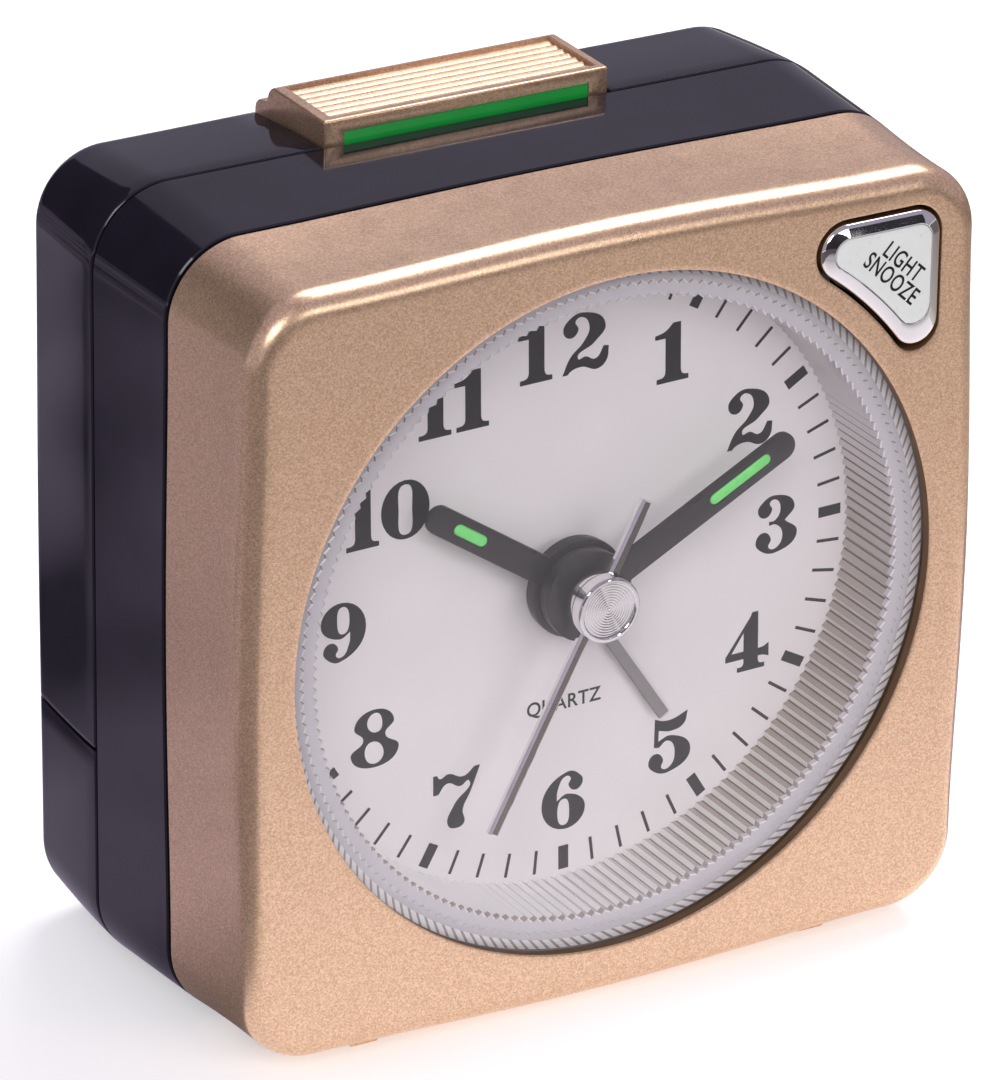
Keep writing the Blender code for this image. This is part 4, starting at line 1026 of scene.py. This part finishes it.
def lettering(name, text, height, centre, turn, depth, body, slot, narrow, weight, spacing):
    """A line of plain capitals, centred on a dial-side point and turned anticlockwise by turn degrees."""
    curve = bpy.data.curves.new(name, "FONT")
    curve.body = text
    curve.align_x, curve.align_y = "CENTER", "CENTER"
    curve.size = 1.0
    curve.space_character = spacing
    curve.offset = weight
    flat = evaluated_mesh(placed(name + "_curve", curve))
    top = max(vertex.co.y for vertex in flat.vertices)
    bottom = min(vertex.co.y for vertex in flat.vertices)
    middle = (top + bottom) / 2
    scale = height / (top - bottom)
    angle = math.radians(turn)
    shape = bmesh.new()
    shape.from_mesh(flat)
    bmesh.ops.remove_doubles(shape, verts=shape.verts, dist=1e-5)
    for vertex in shape.verts:
        x, z = vertex.co.x * scale * narrow, (vertex.co.y - middle) * scale
        turned = turned_point(x, z, angle)
        vertex.co = at(centre[0] + turned[0], centre[1] + turned[1], depth)
    made = bmesh.ops.extrude_face_region(shape, geom=shape.faces[:])
    moved = [item for item in made["geom"] if isinstance(item, bmesh.types.BMVert)]
    bmesh.ops.translate(shape, verts=moved, vec=(0.0, -PRINT_THICKNESS * MM, 0.0))
    bmesh.ops.recalc_face_normals(shape, faces=shape.faces)
    shape.to_mesh(flat)
    shape.free()
    piece(name, flat, body, INK)


# ---------------------------------------------------------------- hands


def hand_mesh(angle, boss, reach, bore, low, high, blade_low, slot_start, slot_end):
    """A boss with a slotted blade at its top; low, high and blade_low are heights above the dial."""
    shape = Shape()
    edge, collar_step = 0.1, 0.06
    top, under, base = DIAL_DEPTH - high, DIAL_DEPTH - blade_low, DIAL_DEPTH - low

    def outline(inset):
        return keyhole(angle, boss, reach, HAND_WIDTH, inset)

    stations = [(edge, top), (edge * 0.3, top + edge * 0.3), (0.0, top + edge)]
    rings = shape.stack([(outline(inset), depth) for inset, depth in stations])
    rings.append(shape.ring(outline(0.0), under))
    shape.wall(*rings[-2:], slot=1)
    slot_outer = stadium(angle, slot_start, slot_end, 0.55)
    slot_inner = stadium(angle, slot_start, slot_end, 0.48)
    slot_rings = shape.stack([(slot_outer, top), (slot_inner, top + 0.06), (slot_inner, under)])
    bore_stations = [(circle(bore + edge, 48), top), (circle(bore, 48), top + edge), (circle(bore, 48), base)]
    bore_rings = shape.stack(bore_stations)
    shape.fill(rings[0], slot_rings[0], bore_rings[0])
    side = [(boss - collar_step, under), (boss - collar_step, base - edge), (boss - collar_step - edge, base)]
    collar = shape.stack([(circle(radius, 96), depth) for radius, depth in side], slot=1)
    shape.fill(rings[-1], collar[0], slot_rings[-1])
    shape.fill(collar[-1], bore_rings[-1])
    return shape.data("hand")


def lume_mesh(angle, start, end, low, high):
    """A slightly domed bar of paint that fills a hand's slot."""
    top = DIAL_DEPTH - high
    stations = [(0.44, DIAL_DEPTH - low), (0.44, top + 0.1), (0.38, top + 0.03), (0.26, top - 0.01)]
    return solid_mesh([(stadium(angle, start, end, radius), depth) for radius, depth in stations])


def thin_blade(angle, start, end, low, high, crown):
    """A narrow bar with square ends and a flat top that stands up from its edges by crown."""
    along = heading(angle)
    across = side_of(along)
    half = THIN_WIDTH / 2
    eave, edge = high - crown, 0.05
    section = [(-half, low), (-half, eave - edge), (edge - half, eave), (-BAND_HALF, high)]
    section += [(BAND_HALF, high), (half - edge, eave), (half, eave - edge), (half, low)]
    shape = Shape()
    rings = []
    for reach in (start, end):
        places = []
        for side, height in section:
            point = along * reach + across * side
            places.append(at(point.x, point.y, DIAL_DEPTH - height))
        rings.append(shape.points(places))
    shape.wall(*rings)
    shape.fill(rings[0])
    shape.fill(rings[1])
    return shape.data("blade")


def build_cap():
    """The polished cap: a raised rim round a disc with turned grooves."""
    top = DIAL_DEPTH - 7.05
    base = DIAL_DEPTH - 5.85
    edge, rim, steps = 0.1, 0.22, 6
    profile = [(base, CAP_RADIUS - edge), (base - edge, CAP_RADIUS)]
    for i in range(steps + 1):
        angle = math.pi / 2 * i / steps
        profile.append((top + rim * (1 - math.sin(angle)), CAP_RADIUS - rim * (1 - math.cos(angle))))
    profile += [(top, CAP_RADIUS - 0.34), (top + 0.05, CAP_RADIUS - 0.42), (top + 0.16, CAP_RADIUS - 0.46)]
    grooves, floor, pitch = 10, top + 0.17, 0.212
    for i in range(grooves):
        outer = CAP_RADIUS - 0.5 - pitch * i
        profile += [(floor, outer), (floor - 0.022, outer - pitch * 0.55)]
    profile.append((floor, 0.03))
    cap = turned_mesh(profile, count=96)
    piece("second_hand_button", cap, "seconds", CHROME, ["second_hand_cap"], 9)


def build_hands():
    """All four hands, from the hour hand to the alarm hand."""
    paints = [HAND_PAINT, BOSS_PAINT]
    hour = hand_mesh(HOUR_ANGLE, HOUR_BOSS, HOUR_REACH, 1.95, 1.2, 2.35, 1.9, *HOUR_SLOT)
    piece("hour_pointer", hour, "hours", paints, ["hour_hand"])
    piece("hour_glow", lume_mesh(HOUR_ANGLE, *HOUR_SLOT, 1.95, 2.34), "hours", LUME, ["hour_lume"])
    minute = hand_mesh(MINUTE_ANGLE, MINUTE_BOSS, MINUTE_REACH, 1.15, 2.6, 4.1, 3.65, *MINUTE_SLOT)
    piece("minute_pointer", minute, "minutes", paints, ["minute_hand"])
    minute_lume = lume_mesh(MINUTE_ANGLE, *MINUTE_SLOT, 3.7, 4.09)
    piece("minute_glow", minute_lume, "minutes", LUME, ["minute_lume"])
    hub_profile = [(4.3, 1.4), (5.1, 1.4), (5.1, 2.6), (5.75, 2.6)]
    hub = turned_mesh([(DIAL_DEPTH - height, radius) for height, radius in hub_profile])
    bar = thin_blade(SECOND_ANGLE, -SECOND_TAIL, SECOND_REACH, 5.2, 5.7, 0.15)
    second = combined(hub, "UNION", [bar])
    piece("second_pointer", second, "seconds", CHROME, ["second_hand"], 12)
    # A thin dark strip along the middle of the hand's flat top: a painted dark reflection.
    along = heading(SECOND_ANGLE)
    across = side_of(along) * BAND_HALF
    ends = [along * (SECOND_REACH - 0.1), along * (0.1 - SECOND_TAIL)]
    outline = [ends[0] - across, ends[0] + across, ends[1] + across, ends[1] - across]
    band = prism_mesh(outline, DIAL_DEPTH - 5.715, DIAL_DEPTH - 5.69)
    piece("second_pointer_painted_reflection", band, "seconds", CHROME_PAINTED_REFLECTION)
    build_cap()
    collar_profile = [(0.85, 2.72), (0.85, 3.25), (0.8, 3.3), (0.5, 3.3), (0.5, 2.72)]
    collar_stations = [(DIAL_DEPTH - height, radius) for height, radius in collar_profile]
    collar = turned_mesh(collar_stations, count=64, closed=True)
    blade = thin_blade(ALARM_ANGLE, 3.0, ALARM_REACH, 0.52, 0.84, 0.01)
    alarm = combined(collar, "UNION", [blade])
    piece("alarm_pointer", alarm, "alarm_pointer", ALARM_STEEL, ["alarm_hand"], 20)


# ---------------------------------------------------------------- controls


def build_button():
    """A plated frame with a crowned bevel round a pale insert with two words."""
    gap, rise = BUTTON_GAP, -BUTTON_RISE
    section = [(gap, 3.2), (gap, -0.02), (gap + 0.04, -0.14), (gap + 0.12, -0.24), (gap + 0.26, -0.33)]
    section += [(gap + 0.45, -0.43), (gap + 0.7, -0.54), (gap + 0.92, rise + 0.08), (gap + 0.98, rise + 0.1)]
    section += [(gap + 1.0, rise + 0.15), (gap + 1.0, 0.5)]
    frame_mesh = solid_mesh([(button_outline(inset), depth) for inset, depth in section])
    stem = turned_mesh([(3.0, 1.4), (9.6, 1.4)], (24.6, 25.0), 24)
    mesh = combined(frame_mesh, "UNION", [stem])
    piece("button_frame", mesh, "snooze", CHROME, ["snooze_button"], 30)
    section = [(gap + 1.03, 0.4), (gap + 1.03, rise + 0.1), (gap + 1.07, rise + 0.03)]
    section += [(gap + 1.2, rise), (gap + 1.4, rise)]
    insert = solid_mesh([(button_outline(inset), depth) for inset, depth in section])
    piece("button_insert", insert, "snooze", GREY, ["snooze_insert"], 30)
    for word, centre in (("LIGHT", (23.99, 24.59)), ("SNOOZE", (22.96, 23.42))):
        name = f"button_word_{word.lower()}"
        lettering(name, word, 1.38, centre, -43, -BUTTON_RISE, "snooze", "grey_plastic", 0.76, 0.01, 1.08)


def offset_section(section, inset):
    """A closed section moved inwards by inset along its mitres."""
    count = len(section)
    middle = Vector((sum(p[0] for p in section) / count, sum(p[1] for p in section) / count))
    found = []
    for i in range(count):
        here, before, after = Vector(section[i]), Vector(section[i - 1]), Vector(section[(i + 1) % count])
        first, second = (here - before).normalized(), (after - here).normalized()
        normals = [side_of(direction) for direction in (first, second)]
        normals = [normal if normal.dot(here - middle) > 0 else -normal for normal in normals]
        mitre = normals[0] + normals[1]
        found.append(tuple(here - mitre * inset / max(0.5, mitre.length_squared / 2)))
    return found


def bar_section():
    """(depth, z) section: a flat top that rounds over the rear edge of the case into a skirt."""
    crown = arc((31.0, BAR_TOP - 1.3), 1.3, 90, 15, 8)
    skirt = arc((33.3, 31.7), 1.0, 80, 0, 8)
    front = arc((BAR_START + 0.2, BAR_TOP - 0.2), 0.2, 180, 90, 5)
    return [(BAR_START, BAR_BOTTOM)] + front + crown + [(32.4, 32.75)] + skirt + [(34.3, BAR_BOTTOM)]


def build_alarm_bar():
    """The gold bar on the roof: a ribbed tray on top and a green strip along its front edge."""
    section = bar_section()
    ends = [(0.0, 0.2), (0.02, 0.12), (0.06, 0.06), (0.12, 0.02), (0.2, 0.0)]
    stations = [(BAR_LEFT + x, offset_section(section, inset)) for x, inset in ends]
    stations += [(BAR_RIGHT - x, offset_section(section, inset)) for x, inset in reversed(ends)]
    stem = block(-4.3, 26.4, 3.7, BAR_BOTTOM + 0.5, 25.5, 29.7)
    body = combined(swept_mesh(stations), "UNION", [stem])
    tray_floor = BAR_TOP - TRAY_DEPTH
    tray_left, tray_right = BAR_LEFT + 0.9, BAR_RIGHT - 0.7
    tray = block(tray_left, tray_floor, tray_right, BAR_TOP + 1, TRAY_START, TRAY_END)
    groove = block(BAR_LEFT + 1.7, 31.5, BAR_RIGHT - 1.7, 33.3, BAR_START - 1, BAR_START + 0.4)
    body = combined(body, "DIFFERENCE", [tray, groove])
    piece("bar_cap", softened(body, 0.07, 2, 50), "bar", GOLD, ["alarm_bar"], 40)
    ribs, margin = 7, 0.02
    pitch = (TRAY_END - TRAY_START - 2 * margin) / ribs
    profile = [(TRAY_START + margin, tray_floor - 0.1)]
    for i in range(ribs):
        start = TRAY_START + margin + pitch * i
        profile += [(start, tray_floor + 0.04), (start + pitch * 0.74, tray_floor + 0.3)]
        profile.append((start + pitch * 0.97, tray_floor + 0.28))
    profile += [(TRAY_END - margin, tray_floor + 0.04), (TRAY_END - margin, tray_floor - 0.1)]
    ribs_mesh = swept_mesh([(tray_left + 0.02, profile), (tray_right - 0.02, profile)])
    piece("bar_ribs", ribs_mesh, "bar", GOLD, smooth=25)
    strip = [(BAR_START + 0.08, 31.6), (BAR_START + 0.38, 31.6), (BAR_START + 0.38, 33.26)]
    strip += [(BAR_START + 0.14, 33.26), (BAR_START + 0.08, 33.2)]
    strip_mesh = swept_mesh([(BAR_LEFT + 1.75, strip), (BAR_RIGHT - 1.75, strip)])
    piece("bar_strip", strip_mesh, "bar", GREEN, ["alarm_bar_stripe"])


def knob_outline(centre, inset, ridges=24):
    """A round knob with rounded ridges, each from six points."""
    points = []
    for i in range(ridges):
        for share, drop in ((0.0, 0.0), (0.2, 0.0), (0.38, 0.06), (0.5, 0.3), (0.7, 0.34), (0.88, 0.1)):
            angle = 2 * math.pi * (i + share) / ridges
            radius = KNOB_RADIUS - inset - drop
            points.append((centre[0] + radius * math.cos(angle), centre[1] + radius * math.sin(angle)))
    return points


def knob_arrow(centre):
    """A curved arrow round the knob's face: a bent bar and a triangular head."""
    radius, half, head_half = 3.0, 0.28, 0.9
    start, end, tip_angle = 60, 300, 332
    outer = arc(centre, radius + half, start, end, 40)
    inner = arc(centre, radius - half, end, start, 40)
    head = [arc(centre, radius + head_half, end, end, 1)[0]]
    head.append(arc(centre, radius, tip_angle, tip_angle, 1)[0])
    head.append(arc(centre, radius - head_half, end, end, 1)[0])
    return outer + head + inner


def build_knobs():
    """The two knobs on the rear, each with a round arrow on its face."""
    face = KNOB_END - 0.05
    side = [(0.1, KNOB_START), (0.0, KNOB_START + 0.1), (0.0, face - 0.7)]
    side += [(0.12, face - 0.45), (0.45, face - 0.25)]
    crown = [(1.1, face - 0.12), (1.5, face - 0.1)]
    for name, body, centre in (
        ("time_knob", "time_setting", TIME_ARBOR),
        ("alarm_knob", "alarm_setting", ALARM_ARBOR),
    ):
        stations = [(knob_outline(centre, inset), depth) for inset, depth in side]
        count = len(stations[0][0])
        stations += [(circle(KNOB_RADIUS - inset, count, centre), depth) for inset, depth in crown]
        arrow = prism_mesh(knob_arrow(centre), face - 0.4, face + 0.04)
        mesh = combined(solid_mesh(stations), "UNION", [arrow])
        piece(f"{name}_grip", mesh, body, SATIN, [name], 30)


# ---------------------------------------------------------------- studio

LIGHT_AIM = (0.0, 0.0, 0.035)


def soft_light(name, place, width, height, power):
    """A rectangular light in metres and watts, turned to the clock and hidden from the camera."""
    light = bpy.data.lights.new(name, "AREA")
    light.shape = "RECTANGLE"
    light.size, light.size_y = width, height
    light.energy = power
    made = placed(name, light)
    made.location = place
    made.rotation_euler = (Vector(LIGHT_AIM) - Vector(place)).to_track_quat("-Z", "Y").to_euler()
    made.visible_camera = False


def flat_card(name, corners):
    """A flat card from its four corners in metres."""
    mesh = bpy.data.meshes.new(name)
    mesh.from_pydata(corners, [], [(0, 1, 2, 3)])
    return placed(name, mesh)


def reflection_card(name, corners, dark, light=None, direction=None, start=0.0, end=1.0):
    """A card seen only in shiny surfaces, as a photographer's card or flag is.

    It glows from dark to light along a direction, or in soft patches where it has no direction.
    """
    card = flat_card(name, corners)
    made = Finish(name, (0.0, 0.0, 0.0), 0.0, 1.0, Emission_Strength=1.0)
    if direction:
        made.colours(made.rise(direction, start, end), dark, light, 0.0, 1.0)
    else:
        made.colours(made.noise(45.0, 1.0), dark, light or dark, 0.35, 0.65)
    made.glow()
    card.data.materials.append(made.material)
    for rays in ("camera", "diffuse", "shadow", "volume_scatter"):
        setattr(card, f"visible_{rays}", False)


def floor_card(name, left, front, right, back, dark, light, direction=None, start=0.0, end=1.0):
    """A level reflection card just above the floor."""
    height = 0.001
    corners = [(x, y, height) for x, y in rectangle(left, front, right, back)]
    reflection_card(name, corners, dark, light, direction, start, end)


def wall_card(name, start, end):
    """An upright black reflection card along the floor from start to end."""
    height = 0.75
    corners = [(*start, 0.0), (*end, 0.0), (*end, height), (*start, height)]
    reflection_card(name, corners, (0.02, 0.018, 0.022))


def build_floor():
    size = 3.0
    floor = flat_card("floor", [(x, y, 0) for x, y in rectangle(-size, -size, size, size)])
    glow = {"Emission_Color": (1.0, 0.99, 0.98, 1.0), "Emission_Strength": 0.4}
    paper = Finish("floor_paper", (0.9, 0.9, 0.9), 0.0, 0.9, **glow)
    paper.colours(paper.noise(60.0), (0.89, 0.89, 0.89), (0.91, 0.91, 0.91))
    floor.data.materials.append(paper.material)


def build_studio():
    """A pale room, four soft lights, and the cards that the black and plated faces reflect."""
    bpy.context.scene.view_settings.view_transform = "Standard"
    world = bpy.data.worlds.new("studio")
    world.use_nodes = True
    backdrop = world.node_tree.nodes["Background"].inputs
    backdrop["Color"].default_value = (0.86, 0.80, 1.0, 1.0)
    backdrop["Strength"].default_value = 0.42
    bpy.context.scene.world = world
    build_floor()
    soft_light("top_box", (0.44, 0.26, 0.85), 0.65, 0.4, 5.5)
    soft_light("side_box", (-0.8, 0.4, 0.28), 0.15, 0.5, 1.0)
    soft_light("left_box", (-0.6, -0.8, 0.7), 0.5, 0.5, 3.6)
    soft_light("front_box", (0.3, -1.1, 0.5), 0.6, 0.4, 3.0)
    left, right, near, front = -0.045, 0.1, -0.16, -1.1
    behind = -0.012
    bright, middle = (1.07, 1.0, 1.04), (0.44, 0.41, 0.43)
    forward, rightward = (0.0, -1.0, 0.0), (1.0, 0.0, 0.0)
    floor_card("near_floor", left, near, right, -0.019, bright, middle, forward, 0.03, 0.12)
    floor_card("front_floor", left, front, right, near, middle, (0.04, 0.035, 0.04), forward, 0.16, 0.3)
    dark, darker = (0.13, 0.11, 0.12), (0.05, 0.045, 0.05)
    floor_card("left_floor", -0.7, front, left, behind, dark, darker, forward, 0.0, 0.3)
    warm, shade = (0.62, 0.58, 0.54), (0.12, 0.1, 0.1)
    floor_card("right_floor", right, front, 1.2, 0.9, warm, shade, rightward, 0.1, 0.2)
    floor_card("back_floor", -0.7, behind, right, 0.9, (0.03, 0.025, 0.035), (0.40, 0.34, 0.46))
    wall_card("front_wall", (-0.9, front), (1.2, front))
    wall_card("back_wall", (-0.9, 0.2), (-0.03, 0.9))


def build_camera():
    """The photograph's view: a long lens from the front left, above the clock."""
    azimuth, elevation, roll = math.radians(-30.38), math.radians(24.30), math.radians(0.825)
    distance = 605.9
    aim = Vector((-2.86, -5.22, 36.27))
    level = math.cos(elevation)
    back = Vector((math.sin(azimuth) * level, -math.cos(azimuth) * level, math.sin(elevation)))
    flat_right = (-back).cross(Vector((0, 0, 1))).normalized()
    flat_up = flat_right.cross(-back)
    right = flat_right * math.cos(roll) + flat_up * math.sin(roll)
    up = flat_up * math.cos(roll) - flat_right * math.sin(roll)
    data = bpy.data.cameras.new("camera")
    data.lens, data.sensor_width = 265.3, 36.0
    data.shift_x, data.shift_y = -0.0072, -0.0147
    data.clip_start, data.clip_end = 0.05, 20.0
    camera = placed("camera", data)
    turn = Matrix((right, up, back)).transposed().to_4x4()
    camera.matrix_world = Matrix.Translation((aim + back * distance) * MM) @ turn
    bpy.context.scene.camera = camera


dress_cad_nodes()
build_bezel()
build_window()
build_mid_case()
build_back_case()
build_battery_door()
build_case_screws()
build_dial()
build_hands()
build_button()
build_alarm_bar()
build_knobs()
build_studio()
build_camera()
